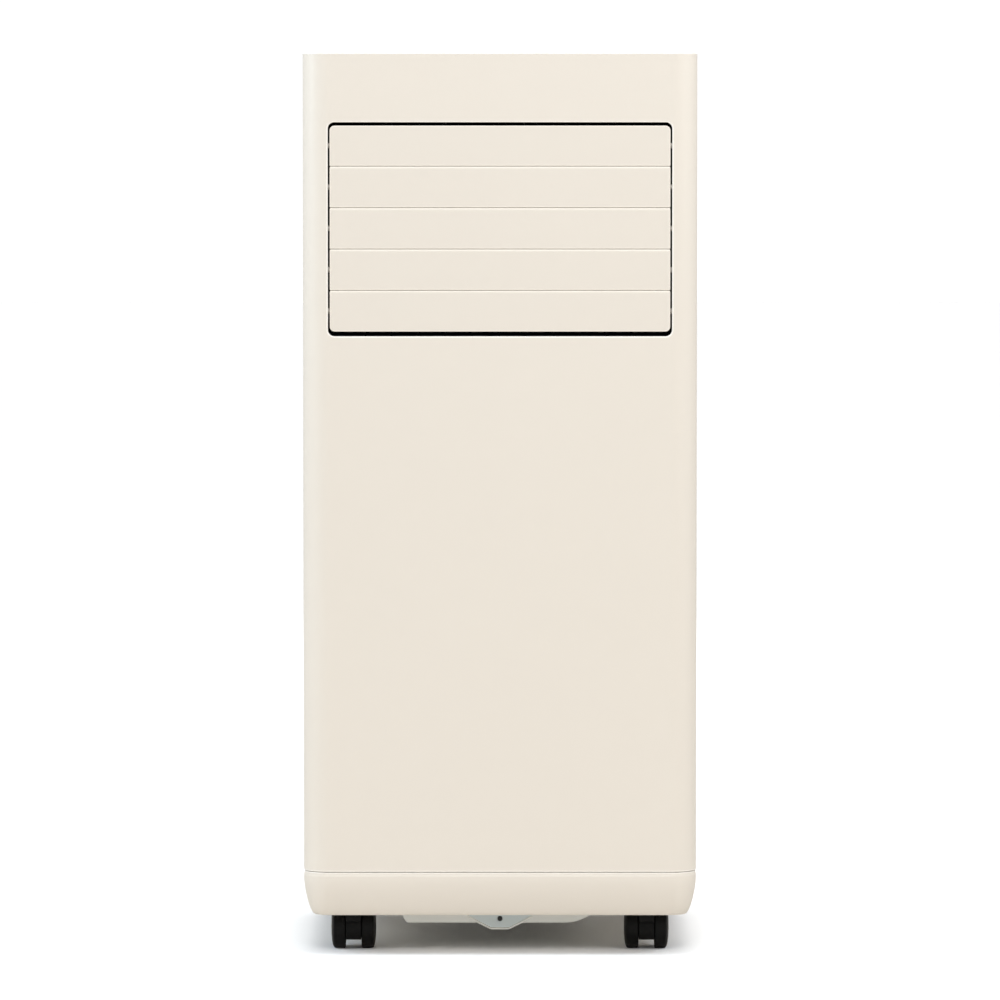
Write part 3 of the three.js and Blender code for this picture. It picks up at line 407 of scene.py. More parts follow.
# ---- the casing's plan, unrolled

CENTRE_X = HALF_WIDTH - CORNER_RADIUS
CENTRE_Y = REAR - CORNER_RADIUS
QUARTER = pi / 2 * CORNER_RADIUS
FLATS = (2 * CENTRE_X, 2 * CENTRE_Y, 2 * CENTRE_X, 2 * CENTRE_Y)
PERIMETER = sum(FLATS) + 4 * QUARTER
CASING_OUTLINE = round_box(-HALF_WIDTH, HALF_WIDTH, FRONT, REAR, CORNER_RADIUS, steps=CORNER_STEPS)
CORNER_CENTRES = ((CENTRE_X, -CENTRE_Y), (CENTRE_X, CENTRE_Y), (-CENTRE_X, CENTRE_Y), (-CENTRE_X, -CENTRE_Y))


def side_distance(y):
    """How far round the casing a place on its right side is, from the middle of the front."""
    return FLATS[0] / 2 + QUARTER + y + CENTRE_Y


def rear_distance(x):
    return PERIMETER / 2 - x


def round_casing(point):
    """Wraps an unrolled point (distance round the casing, height, depth) onto the casing."""
    left = (point.x + FLATS[0] / 2) % PERIMETER
    for side, flat in enumerate(FLATS):
        turn = radians(90 * side)
        forward = Vector((cos(turn), sin(turn)))
        outward = Vector((sin(turn), -cos(turn)))
        along = min(left - flat, 0)
        angle = min(max(left - flat, 0), QUARTER) / CORNER_RADIUS
        left -= flat + QUARTER
        if left <= 0:
            break
    across = outward * cos(angle) + forward * sin(angle)
    place = Vector(CORNER_CENTRES[side]) + forward * along + across * (CORNER_RADIUS - point.z)
    return (*place, point.y)


def wrapped(bm, corner_starts, depth=0.0):
    """Cuts an unrolled plate finely where it passes a corner, and wraps it round the casing."""
    for start in corner_starts:
        for i in range(CORNER_STEPS + 1):
            everything = bm.verts[:] + bm.edges[:] + bm.faces[:]
            cut = (start + QUARTER * i / CORNER_STEPS, 0, 0)
            bmesh.ops.bisect_plane(bm, geom=everything, plane_co=cut, plane_no=(1, 0, 0))
    return mapped(bm, lambda p: round_casing(Vector((p.x, p.y, p.z + depth))))


# ---- pieces

SMOOTH_ANGLE = radians(38)


def add_object(name, data):
    made = bpy.data.objects.new(name, data)
    bpy.context.scene.collection.objects.link(made)
    return made


def joined(name, parts):
    """One mesh of closed parts, with each part's faces turned outwards."""
    mesh = bpy.data.meshes.new(name)
    whole = bmesh.new()
    for part in parts:
        bmesh.ops.recalc_face_normals(part, faces=part.faces)
        part.to_mesh(mesh)
        part.free()
        whole.from_mesh(mesh)
    whole.to_mesh(mesh)
    whole.free()
    return mesh


def piece(name, parts, finish, stands_for=(), body="casing", hole=None):
    """Joins closed parts into one named mesh that takes a finish and rides on a body."""
    mesh = joined(name, parts)
    mesh.materials.append(finish)
    mesh.shade_smooth()
    mesh.set_sharp_from_angle(angle=SMOOTH_ANGLE)
    made = add_object(name, mesh)
    if hole:
        cut_away(made, hole)
    made.modifiers.new("weighted", "WEIGHTED_NORMAL").keep_sharp = True
    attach(made, body)
    if stands_for:
        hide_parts(*stands_for)


def cut_away(made, hole):
    """Takes a closed form out of an object's mesh."""
    cutter = add_object("cutter", joined("cutter", [hole]))
    cut = made.modifiers.new("cut", "BOOLEAN")
    cut.operation = "DIFFERENCE"
    cut.object = cutter
    cut.solver = "EXACT"
    shaped = made.evaluated_get(bpy.context.evaluated_depsgraph_get())
    made.data = bpy.data.meshes.new_from_object(shaped)
    made.data.set_sharp_from_angle(angle=SMOOTH_ANGLE)
    made.modifiers.remove(cut)
    bpy.data.objects.remove(cutter)


def centre_of(node):
    low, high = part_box(node)
    return (low + high) / 2


# ---- finishes

NOISE_SPREAD = (0.3, 0.7)
# How far the shading turns, and within what radius, where edges get their painted highlight.
EDGE_TURN = (0.9985, 0.975)
EDGE_RADIUS = 0.0016


def linear(code):
    """A colour written as six hexadecimal digits, as the shader's linear numbers."""
    parts = [int(code[i:i + 2], 16) / 255 for i in (0, 2, 4)]
    return [p / 12.92 if p <= 0.04045 else ((p + 0.055) / 1.055) ** 2.4 for p in parts] + [1.0]


def fill(tree, node, **sockets):
    """Sets a shader node's inputs to values, or links those whose value is another node's output."""
    for word, value in sockets.items():
        socket = node.inputs[word.replace("_", " ").title().replace("Ior", "IOR")]
        if isinstance(value, bpy.types.NodeSocket):
            tree.links.new(value, socket)
        else:
            socket.default_value = value


def shader_node(tree, kind, output, setup=(), **sockets):
    """Adds a shader node with its settings and inputs, and gives back one of its outputs."""
    made = tree.nodes.new("ShaderNode" + kind)
    for setting, value in setup:
        setattr(made, setting, value)
    fill(tree, made, **sockets)
    return made.outputs[output]


class Finish:
    """A material with its shader, and short ways to add procedural detail to it."""

    def __init__(self, name, colour, roughness, metallic=0.0, **sockets):
        self.material = bpy.data.materials.new(name)
        self.material.use_nodes = True
        self.tree = self.material.node_tree
        self.shader = self.tree.nodes["Principled BSDF"]
        self.colour = linear(colour)
        self.material.diffuse_color = self.colour
        self.set(base_color=self.colour, roughness=roughness, metallic=metallic, **sockets)
        self.place = self.add("TexCoord", "Object")

    def set(self, **sockets):
        fill(self.tree, self.shader, **sockets)

    def add(self, kind, output, setup=(), **sockets):
        return shader_node(self.tree, kind, output, setup, **sockets)

    def noise(self, size, detail=2.0, stretch=(1, 1, 1)):
        """Noise whose features are about size across, in metres."""
        spread = self.add("Mapping", "Vector", vector=self.place, scale=stretch)
        return self.add("TexNoise", "Fac", vector=spread, scale=1 / size, detail=detail)

    def ranged(self, value, low=0.0, high=1.0, spread=NOISE_SPREAD):
        """Maps a value from its own spread to the one between low and high."""
        first, last = spread
        return self.add(
            "MapRange", "Result", value=value, from_min=first, from_max=last, to_min=low, to_max=high,
        )

    def blend(self, factor, below, above):
        """Makes the base colour go from a colour or another node's output to a colour."""
        rgb = [("data_type", "RGBA")]
        mixed = self.add("Mix", "Result", rgb, factor=factor, a=below, b=linear(above))
        self.set(base_color=mixed)
        return mixed

    def drift(self, size, other):
        """Lets the colour wander slowly towards another one."""
        return self.blend(self.ranged(self.noise(size, 3.0)), self.colour, other)

    def painted_edge_highlight(self, below, colour):
        """Paints a highlight along edges: turns the colour paler where the surface turns, standing in for the
        light that rounded edges catch.
        """
        rounded = self.add("Bevel", "Normal", [("samples", 6)], radius=EDGE_RADIUS)
        along = self.add("VectorMath", "Value", [("operation", "DOT_PRODUCT")])
        for normal, socket in zip((rounded, self.add("NewGeometry", "Normal")), along.node.inputs):
            self.tree.links.new(normal, socket)
        self.blend(self.ranged(along, spread=EDGE_TURN), below, colour)

    def gloss(self, size, low, high, stretch=(1, 1, 1)):
        """Lets the roughness vary between two values."""
        self.set(roughness=self.ranged(self.noise(size, 3.0, stretch), low, high))

    def relief(self, size, height, detail=2.0, stretch=(1, 1, 1)):
        """Fine surface relief, as features of a size and height in metres."""
        features = self.noise(size, detail, stretch)
        self.set(normal=self.add("Bump", "Normal", height=features, distance=height))


def moulded(name, colour, other, roughness, grain=0.0007, height=0.00003, edges=None, **sockets):
    """Injection-moulded plastic with a fine spark-eroded grain."""
    made = Finish(name, colour, roughness, **sockets)
    drifting = made.drift(0.4, other)
    # edges is the colour of a painted highlight along the edges, paler than the plastic itself.
    if edges:
        made.painted_edge_highlight(drifting, edges)
    made.gloss(0.05, roughness - 0.03, roughness + 0.03)
    made.relief(grain, height)
    return made.material


def brushed(name, colour, roughness, stretch):
    """Bare or plated metal with fine lines along its rolling direction."""
    made = Finish(name, colour, roughness, metallic=1.0)
    made.gloss(0.0015, roughness - 0.08, roughness + 0.12, stretch)
    made.relief(0.0008, 0.00002, 3.0, stretch)
    return made.material


def painted(name, colour, other, roughness, metallic=0.0):
    """Sprayed paint on steel, with a slight orange peel."""
    made = Finish(name, colour, roughness, metallic, coat_weight=0.15)
    made.drift(0.05, other)
    made.relief(0.0022, 0.00006)
    return made.material


def clear_black(name, roughness):
    """Black plastic under a clear window or lacquer."""
    made = Finish(name, "0b0c0e", roughness, specular_ior_level=0.22)
    made.gloss(0.02, roughness, roughness + 0.05)
    return made.material


def lamp(name, colour, strength):
    made = Finish(name, colour, 0.4)
    made.set(emission_color=made.colour, emission_strength=strength)
    made.gloss(0.004, 0.35, 0.45)
    return made.material


# Each edges colour below is a painted highlight along the edges, not a colour of the plastic.
CREAM = moulded("cream_plastic", "ddd5ca", "dcd4c9", 0.42, edges="fcf9f3")
REAR_CREAM = moulded("rear_plastic", "ddd5ca", "dcd4c9", 0.42, edges="e9e3d9")
SLAT_CREAM = moulded("slat_plastic", "dcd4c9", "dbd3c8", 0.4, edges="ece5da")
# The lid's cream is darker than the casing's: painted shade that holds back the strong light on the top.
SHADED_LID_CREAM = moulded("shaded_lid_plastic", "cdc6bb", "ccc5b9", 0.42, edges="e6e0d6")
PORCELAIN = moulded("button_plastic", "e9e2d8", "e6ded2", 0.36, grain=0.0005)
DUCT_WHITE = moulded("duct_plastic", "dcdad4", "d5d3cc", 0.62, grain=0.0015)
CHARCOAL = moulded("fan_plastic", "17191b", "1c1e20", 0.55, grain=0.001)
FILTER_GREY = moulded("filter_plastic", "53585c", "4b5054", 0.6, grain=0.001)
CASTER_BLACK = moulded("caster_nylon", "080808", "0b0b0b", 0.5, grain=0.0009, specular_ior_level=0.16)
RUBBER = moulded("rubber", "1d1c1b", "242321", 0.8, grain=0.0009, height=0.00006)
BOARD_GREEN = moulded("board_laminate", "1f5a38", "1a4f31", 0.5, grain=0.0012)
ICON_GREY = moulded("icon_print", "3d4042", "45484a", 0.5)
PAN_PAINT = painted("pan_paint", "f0f1ed", "e9ebe7", 0.36)
# The lip's paint is a darker, bluer copy of the pan's: painted shade on the folded lip.
SHADED_LIP_PAINT = painted("shaded_lip_paint", "d3dcdd", "cbd5d7", 0.34, 0.15)
COMPRESSOR_PAINT = painted("compressor_paint", "151618", "1b1c1e", 0.4)
BOX_STEEL = painted("box_steel", "a4a8aa", "b4b8b9", 0.38, 0.85)
ALUMINIUM = brushed("coil_aluminium", "c8ccce", 0.35, (1, 1, 6))
COPPER = brushed("copper", "c27c55", 0.3, (6, 1, 1))
MOTOR_STEEL = brushed("motor_steel", "9fa2a4", 0.36, (1, 8, 1))
SCREW_STEEL = brushed("screw_steel", "b9bcbd", 0.3, (1, 1, 1))
CAPACITOR_CAN = brushed("capacitor_can", "c9cbcc", 0.34, (1, 1, 8))
GLOSS_BLACK = clear_black("panel_gloss", 0.16)
SMOKED = clear_black("smoked_window", 0.07)
DIGITS = lamp("display_digits", "bfe8ee", 1.6)


# ---- casing shells and skirt

def shell(name, finish, node, reach, corner_starts, openings):
    """A wrapped sheet with openings cut in it, and the ledge that carries the top cover."""
    sheet = plate(rectangle(*reach, SHELL_BOTTOM, HEIGHT), WALL, openings, front=BROAD, back=ROUNDED)
    ledge = plate(rectangle(*reach, *LEDGE), LEDGE_WIDTH, front=FINE)
    parts = [wrapped(sheet, corner_starts), wrapped(ledge, corner_starts, WALL - FINE)]
    piece(name, parts, finish, [node])


def front_casing():
    edge = side_distance(SPLIT_Y) - SPLIT_GAP / 2
    half = SLAT_HALF + OUTLET_SIDE_GAP
    bottom = PIVOTS["slat_5_tilt"].z - SLAT_HEIGHT / 2 - OUTLET_BOTTOM_GAP
    top = PIVOTS["slat_1_tilt"].z + SLAT_HEIGHT / 2 + OUTLET_TOP_GAP
    outlet = round_box(-half, half, bottom, top, OUTLET_CORNER)
    starts = (FLATS[0] / 2, -FLATS[0] / 2 - QUARTER)
    shell("front_casing", CREAM, "front_shell", (-edge, edge), starts, [outlet])


def rear_casing():
    edge = side_distance(SPLIT_Y) + SPLIT_GAP / 2
    starts = (side_distance(CENTRE_Y), rear_distance(-CENTRE_X))
    shell("rear_casing", REAR_CREAM, "rear_shell", (edge, PERIMETER - edge), starts, rear_openings())


def rear_openings():
    """Every opening of the rear shell, as unrolled loops."""
    loops = []
    for node in ("intake_grille", "condenser_grille"):
        low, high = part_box(node)
        ends = rear_distance(high.x + VENT_GAP), rear_distance(low.x - VENT_GAP)
        loops.append(round_box(*ends, low.z - VENT_GAP, high.z + VENT_GAP, VENT_CORNER + SOFT))
    round_holes = (("exhaust_collar", PORT_RADIUS, 96), ("cord_gland", GLAND_HOLE, 40),
                   ("upper_drain_plug", DRAIN_HOLES[0], 32))
    for node, radius, steps in round_holes:
        centre = centre_of(node)
        loops.append(circle(rear_distance(centre.x), centre.z, radius, steps))
    loops += [circle(rear_distance(x), z, SCREW_HOLE, 20) for x, z in SCREW_PLACES]
    low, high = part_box("handle_cup_right")
    ends = side_distance(low.y - GAP), side_distance(high.y + GAP)
    grip = round_box(*ends, low.z - GAP, high.z + GAP, GRIP_CORNER + GAP)
    loops.append(grip)
    loops.append([(PERIMETER - s, z) for s, z in reversed(grip)])
    return loops


def skirt_section():
    """The skirt's section as (inset, height) pairs: down its outer face, up its inner face and its tongue."""
    shoulder = bezier((0.00036, 0.0641), (0.00036, 0.0633), (0, 0.0628), (0, 0.0618), 5)
    side = bezier((0, 0.06), (0, 0.0515), (0.0044, 0.0321), (0.0082, 0.0313), 13)
    return [
        (0.003, 0.06535), (0.0008, 0.06535), (0.0005, 0.06525), (0.00038, 0.065), *shoulder, *side,
        (0.0086, 0.0314), (0.0088, 0.032), (0.0088, 0.04), (0.0092, 0.0405), (0.0092, 0.0425),
        (0.0055, CHASSIS_FLOOR), (0.0055, 0.0748), (0.0053, 0.075), (0.0032, 0.075), (0.003, 0.0748),
    ]


def base_skirt():
    """The chassis: a skirt that curves in towards the floor, its tongue inside the shells, and its floor."""
    pivots = [PIVOTS[f"caster_{corner}_swivel"] for corner in CORNERS]
    sockets = [circle(pivot.x, pivot.y, STEM_SOCKET, 24) for pivot in pivots]
    floor = panel("top", CHASSIS_FLOOR, inset(CASING_OUTLINE, 0.0085), FLOOR_SHEET, holes=sockets)
    boss_section = [(0, CHASSIS_FLOOR - SOFT), (0, STEM_BOSS_TOP - EASED), (EASED, STEM_BOSS_TOP)]
    bosses = [lofted(circle(pivot.x, pivot.y, STEM_BOSS, 24), boss_section, False) for pivot in pivots]
    skirt = lofted(CASING_OUTLINE, skirt_section())
    drain = centre_of("lower_drain_plug")
    hole = turned([(DRAIN_HOLES[1], 0.15), (DRAIN_HOLES[1], 0.17)], "y", (drain.x, 0, drain.z), 40)
    parts = [skirt, floor, *bosses]
    piece("base_skirt", parts, CREAM, ["base_chassis"], hole=hole)


def top_cover():
    low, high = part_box("top_cover")
    half = PANEL_HALF + GAP
    well = round_box(-half, half, PANEL_FRONT - GAP, PANEL_BACK + GAP, PANEL_CORNER + GAP)
    outline = inset(CASING_OUTLINE, WALL + GAP)
    cover = panel("top", high.z, outline, high.z - low.z, holes=[well], front=BROAD)
    piece("top_lid", [cover], SHADED_LID_CREAM, ["top_cover"])


# ---- control panel

def button_x(number):
    return centre_of(f"button_{number}").x


def control_panel():
    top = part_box("control_panel")[1].z
    low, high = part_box("display_window")
    window = rectangle(low.x - FINE, high.x + FINE, low.y - FINE, high.y + FINE)
    holes = [circle(button_x(number), PANEL_Y, BUTTON_RADIUS + EASED, 40) for number in BUTTONS]
    outline = round_box(-PANEL_HALF, PANEL_HALF, PANEL_FRONT, PANEL_BACK, PANEL_CORNER)
    face = panel("top", top, outline, PANEL_SHEET, holes=[window, *holes])
    piece("panel_face", [face], GLOSS_BLACK, ["control_panel"])
    glass_outline = round_box(low.x, high.x, low.y, high.y, BROAD)
    glass = panel("top", high.z, glass_outline, high.z - low.z, front=EDGE)
    piece("display_glass", [glass], SMOKED, ["display_window"])
    bars = [bar for place, digit in enumerate("24") for bar in digit_bars(digit, place, high.z)]
    piece("display_numbers", bars, DIGITS)


def digit_bars(digit, place, top):
    """The lit bars of a seven-segment digit, just above the glass."""
    left = DIGIT_START + place * DIGIT_PITCH
    right = left + DIGIT_WIDTH
    low, middle, high = (PANEL_Y + step * DIGIT_HEIGHT / 2 for step in (-1, 0, 1))
    bars = {
        "a": (left, high, right, high), "b": (right, middle, right, high), "c": (right, low, right, middle),
        "d": (left, low, right, low), "e": (left, low, left, middle), "f": (left, middle, left, high),
        "g": (left, middle, right, middle),
    }
    half = DIGIT_STROKE / 2
    gap = DIGIT_STROKE * 0.62
    made = []
    for name in SEGMENTS[digit]:
        x0, y0, x1, y1 = bars[name]
        if y0 == y1:
            outline = rectangle(x0 + gap, x1 - gap, y0 - half, y0 + half)
        else:
            outline = rectangle(x0 - half, x0 + half, y0 + gap, y1 - gap)
        made.append(printed(top + DIGIT_RISE, outline, CRISP))
    return made


def sign_outlines(number, x, y):
    """Plain signs: power, mode, fan on the left; less, more, timer on the right."""
    upright = pi / 2
    power = [
        ring_mark(x, y - FINE, 0.0022, SIGN_STROKE, 120, 420),
        bar_mark(x, y + 0.0018, 0.0024, SIGN_STROKE, upright),
    ]
    mode = [bar_mark(x, y, 0.0056, SIGN_STROKE, radians(angle)) for angle in (30, 90, 150)]
    blades = [radians(angle) for angle in (90, 210, 330)]
    fan = [circle(x + 0.0017 * cos(turn), y + 0.0017 * sin(turn), 0.0011, 16) for turn in blades]
    less = [bar_mark(x, y, 0.0046, 0.0008)]
    more = less + [bar_mark(x, y, 0.0046, 0.0008, upright)]
    timer = [
        ring_mark(x, y, 0.0024, SIGN_STROKE, 0, 359),
        bar_mark(x, y + 0.0008, 0.002, SIGN_STROKE, upright),
        bar_mark(x + 0.0007, y, 0.0018, SIGN_STROKE),
    ]
    return [power, mode, fan, less, more, timer][number - 1]


def push_button(number):
    """A button cap with a shallow dish on top and a printed sign."""
    node = f"button_{number}"
    low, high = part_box(node)
    x = button_x(number)
    top = high.z
    profile = [
        (0.0075, low.z), (0.0075, low.z + 0.002), (BUTTON_RADIUS, low.z + 0.0022),
        (BUTTON_RADIUS, top - ROUNDED), (BUTTON_RADIUS - 0.00018, top - 0.00018),
        (BUTTON_RADIUS - ROUNDED, top), (0.0048, top - 0.00008), (0.0036, top - FINE),
        (0.002, top - 0.00026), (0.0006, top - 0.00028),
    ]
    cap_part = turned(profile, "z", (x, PANEL_Y, 0), 40)
    piece(f"button_cap_{number}", [cap_part], PORCELAIN, [node], body=node)
    signs = [printed(top - 0.00012, outline, FINE) for outline in sign_outlines(number, x, PANEL_Y)]
    piece(f"button_sign_{number}", signs, ICON_GREY, body=node)


# ---- louvre

def slat_ends(pivot, back):
    """The cheeks and pivot pins at both ends of a slat."""
    inner = pivot.y + CHEEK_TIP
    cheek = [
        (back, pivot.z - CHEEK_ROOT), (inner, pivot.z - CHEEK_TIP),
        (inner, pivot.z + CHEEK_TIP), (back, pivot.z + CHEEK_ROOT),
    ]
    parts = []
    for side, name in ((-1, "left"), (1, "right")):
        parts.append(panel(name, side * CHEEK_X, cheek, CHEEK_SHEET, front=EDGE))
        parts.append(rod("x", (0, pivot.y, pivot.z), PIN_RADIUS, *sorted(side * end for end in PIN_SPAN)))
    return parts


def slat_seam(face, back, high):
    """The strip that shows in the gap above a slat, and the weather lip behind the slat above."""
    strip = rectangle(face + SOFT, back, high - 0.001, high + 0.00045)
    half = SLAT_HALF - EASED
    shelf = back + BROAD
    lip = [
        (back, high - 0.004), (back + 0.0024, high - 0.004), (back + 0.0024, high + 0.0034),
        (shelf, high + 0.0034), (shelf, high - EASED), (back, high - EASED),
    ]
    return [
        panel("right", half, strip, 2 * half, front=CRISP, back=CRISP),
        panel("right", LIP_X, lip, LIP_LENGTH, front=FINE),
    ]


def crank_arm(pivot):
    """The arm that the link rod pulls to tilt a slat, with its pin."""
    pin = (pivot.y + CRANK_PIN.x, pivot.z + CRANK_PIN.y)
    outline = arm_outline((pivot.y, pivot.z), pin, CRANK_ARM_HALF)
    arm = panel("right", CRANK_ARM_X, outline, CRANK_ARM_SHEET, front=EDGE)
    return [arm, rod("x", (0, *pin), CRANK_PIN_RADIUS, *CRANK_PIN_SPAN)]


def louvre_slat(number):
    """A slat with its ends, ribs and seam strip, and its clipped-on crank arm."""
    pivot = PIVOTS[f"slat_{number}_tilt"]
    body = f"slat_{number}"
    face = FRONT + GAP
    back = face + SLAT_SHEET - FINE
    low = pivot.z - SLAT_HEIGHT / 2
    high = pivot.z + SLAT_HEIGHT / 2
    upper = SLAT_CORNER if number == SLATS[0] else SLAT_JOINT
    lower = SLAT_CORNER if number == SLATS[-1] else SLAT_JOINT
    outline = round_box(-SLAT_HALF, SLAT_HALF, low, high, upper, lower, 5)
    parts = [panel("front", face, outline, SLAT_SHEET, front=ROUNDED, back=EDGE), *slat_ends(pivot, back)]
    if number > SLATS[0]:
        parts += slat_seam(face, back, high)
    rib = [
        (back, pivot.z - 0.012), (back + 0.0032, pivot.z - 0.008),
        (back + 0.0032, pivot.z + 0.006), (back, pivot.z + 0.01),
    ]
    for x in SLAT_RIBS:
        parts.append(panel("right", x + RIB_SHEET / 2, rib, RIB_SHEET, front=FINE))
    piece(f"slat_arm_{number}", crank_arm(pivot), CHARCOAL, body=body)
    piece(f"slat_face_{number}", parts, SLAT_CREAM, [f"louvre_slat_{number}"], body=body)


def outlet_vanes():
    """Upright vanes in the outlet duct, on two tie bars, that turn the air to each side."""
    low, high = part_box("discharge_duct")
    bottom = low.z + WALL
    top = high.z - WALL
    outline = rectangle(FRONT + VANE_DEPTHS[0], FRONT + VANE_DEPTHS[1], bottom, top)
    first = -VANE_PITCH * (VANE_COUNT - 1) / 2
    places = [first + VANE_PITCH * i for i in range(VANE_COUNT)]
    parts = [panel("right", x, outline, VANE_SHEET, back=SOFT) for x in places]
    for z in (bottom + TIE_BAR_INSET, top - TIE_BAR_INSET):
        parts.append(rod("x", (0, FRONT + TIE_BAR_DEPTH, z), TIE_BAR_RADIUS, low.x + WALL, high.x - WALL))
    piece("outlet_vanes", parts, CHARCOAL)


# ---- grilles, filter and coils

def slot_loops(half_width, low, high, rows):
    """Rows of slots with round ends, in columns with posts between them."""
    left = -half_width + VENT_BORDER
    width = (-2 * left - VENT_POST * (VENT_COLUMNS - 1)) / VENT_COLUMNS
    pitch = (high - low) / rows
    loops = []
    for row in range(rows):
        middle = low + pitch * (row + 0.5)
        for column in range(VENT_COLUMNS):
            x = left + column * (width + VENT_POST)
            loops.append(round_box(
                x, x + width, middle - SLOT_HEIGHT / 2, middle + SLOT_HEIGHT / 2, SLOT_HEIGHT * 0.42, steps=4,
            ))
    return loops


def notched_outline(low, high):
    """A rounded rectangle with a finger notch in the middle of its top edge."""
    dip = degrees(asin(NOTCH_RISE / NOTCH_RADIUS))
    notch = arc(0, high.z + NOTCH_RISE, NOTCH_RADIUS, -dip, dip - 180, 16)
    corners = round_box(low.x, high.x, low.z, high.z, VENT_CORNER)
    first = len(corners) // 4
    return corners[:first] + notch + corners[first:]


def grille(name, body, node, outline, slots):
    sheet = panel("rear", REAR, outline, WALL, holes=slots, front=0.0007, back=EASED, steps=2)
    piece(name, [sheet], CREAM, [node], body)


def grilles():
    """The intake grille, which is the door in front of the filter, and the grille below it."""
    low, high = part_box("intake_grille")
    slots = slot_loops(high.x, low.z + 0.009, high.z - 0.018, 21)
    grille("intake_door", "intake_door", "intake_grille", notched_outline(low, high), slots)
    low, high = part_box("condenser_grille")
    slots = slot_loops(high.x, low.z + 0.007, high.z - 0.007, 10)
    outline = round_box(low.x, high.x, low.z, high.z, VENT_CORNER)
    grille("condenser_vent", "casing", "condenser_grille", outline, slots)


def filter_net():
    """The filter's frame with a woven net across its windows."""
    low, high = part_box("filter_frame")
    border = FILTER_BORDER
    columns, rows = 3, 4
    width = (high.x - low.x - border * (columns + 1)) / columns
    height = (high.z - low.z - border * (rows + 1)) / rows
    windows = []
    for i in range(columns * rows):
        x = low.x + border + (i % columns) * (width + border)
        z = low.z + border + (i // columns) * (height + border)
        windows.append(round_box(x, x + width, z, z + height, 0.003))
    outline = round_box(low.x, high.x, low.z, high.z, 0.004)
    rim = panel("rear", high.y, outline, high.y - low.y, holes=windows, front=ROUNDED)
    piece("filter_rim", [rim], FILTER_GREY, ["filter_frame"], body="intake_door")
    middle = (low.y + high.y) / 2
    held = border / 3
    threads = []
    for x in net_places(low.x, high.x):
        threads.append(thread(x, x + NET_THREAD, middle, middle + NET_THREAD, low.z + held, high.z - held))
    for z in net_places(low.z, high.z):
        threads.append(thread(low.x + held, high.x - held, middle - NET_THREAD, middle, z, z + NET_THREAD))
    piece("filter_mesh", threads, FILTER_GREY, body="intake_door")


def net_places(low, high):
    start = low + FILTER_BORDER
    return [start + i * NET_PITCH for i in range(int((high - FILTER_BORDER - start) / NET_PITCH) + 1)]


def finned_coil(name, rows):
    """Thin fins on rows of tubes between two end plates, with return bends on both ends."""
    node = name + "_coil"
    low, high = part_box(node)
    front, back = low.y + 0.0015, high.y - 0.0015
    core_outline = round_box(-COIL_REACH, COIL_REACH, front + 0.005, back - 0.005, EDGE, steps=2)
    core_height = high.z - low.z - 0.008
    core = panel("top", high.z - 0.004, core_outline, core_height, front=EDGE, back=EDGE, steps=1)
    end_outline = round_box(low.y, high.y, low.z, high.z, 0.002)
    ends = [panel("right", side * COIL_REACH + 0.0007, end_outline, 0.0014) for side in (-1, 1)]
    fins = []
    for i in range(1, int(2 * COIL_REACH / FIN_PITCH)):
        x = -COIL_REACH + i * FIN_PITCH
        fins.append(thread(x, x + FIN_SHEET, front, back, low.z + 0.001, high.z - 0.001))
    piece(name + "_fins", [core, *ends, *fins], ALUMINIUM, [node])
    spacing = (high.z - low.z) / rows
    inner = COIL_REACH - 0.001
    bends = []
    for i in range(rows):
        z = low.z + spacing * (i + 0.5)
        for root, tip in ((-inner, low.x + 0.0035), (inner, COIL_REACH + BEND_RISE)):
            bends.append(return_bend(root, tip, (front + back) / 2, z))
    piece(name + "_bends", bends, COPPER)


def return_bend(root, tip, y, z):
    """A U-bend that joins two tubes one above the other."""
    far = tip + copysign(0.0024, tip)
    shoulder = BEND_RISE - BROAD
    return tube([
        (root, y, z - BEND_RISE), (tip, y, z - shoulder), (far, y, z), (tip, y, z + shoulder),
        (root, y, z + BEND_RISE),
    ], BEND_RADIUS, 10, 5)


# ---- fittings on the rear and the sides

def exhaust_collar():
    """The round hose socket: a rolled rim and a stepped bore with three bayonet lugs."""
    centre = centre_of("exhaust_collar")
    low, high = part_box("exhaust_collar")
    rim = high.y
    profile = [
        (PORT_BORE, low.y), (0.063, low.y), (0.063, 0.155), (0.072, 0.155), (0.072, INNER_REAR),
        (0.0648, INNER_REAR), (0.0648, rim - 0.0007), (0.0646, rim - FINE), (0.0641, rim), (0.0606, rim),
        (0.06, rim - FINE),
        (0.0597, rim - BROAD), (0.0597, rim - 0.006), (0.0594, rim - 0.0066), (PORT_BORE, rim - 0.007),
    ]
    parts = [turned(profile, "y", (centre.x, 0, centre.z), 96, closed=True)]
    for turn in (90, 210, 330):
        lug = ring_mark(centre.x, centre.z, 0.057, 0.003, turn - 9, turn + 9, 8)
        parts.append(panel("rear", rim - 0.0085, lug, 0.004, front=EASED, back=EASED))
    piece("exhaust_socket", parts, CREAM, ["exhaust_collar"])


def exhaust_guard():
    """Rings on crossed spokes, deep in the hose socket, that keep fingers out of the duct."""
    centre = centre_of("exhaust_collar")
    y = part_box("exhaust_collar")[0].y + 0.016
    eighths = [radians(45 * i) for i in range(8)]
    parts = []
    for radius in GUARD_RINGS:
        section = [(radius + 0.0009 * cos(turn), y + 0.0013 * sin(turn)) for turn in eighths]
        parts.append(turned(section, "y", (centre.x, 0, centre.z), 64, closed=True))
    for turn in eighths[:4]:
        spoke = bar_mark(centre.x, centre.z, 0.1165, 0.0022, turn)
        parts.append(panel("rear", y - ROUNDED, spoke, 0.0022, front=EASED, back=EASED))
    piece("exhaust_guard", parts, CHARCOAL)


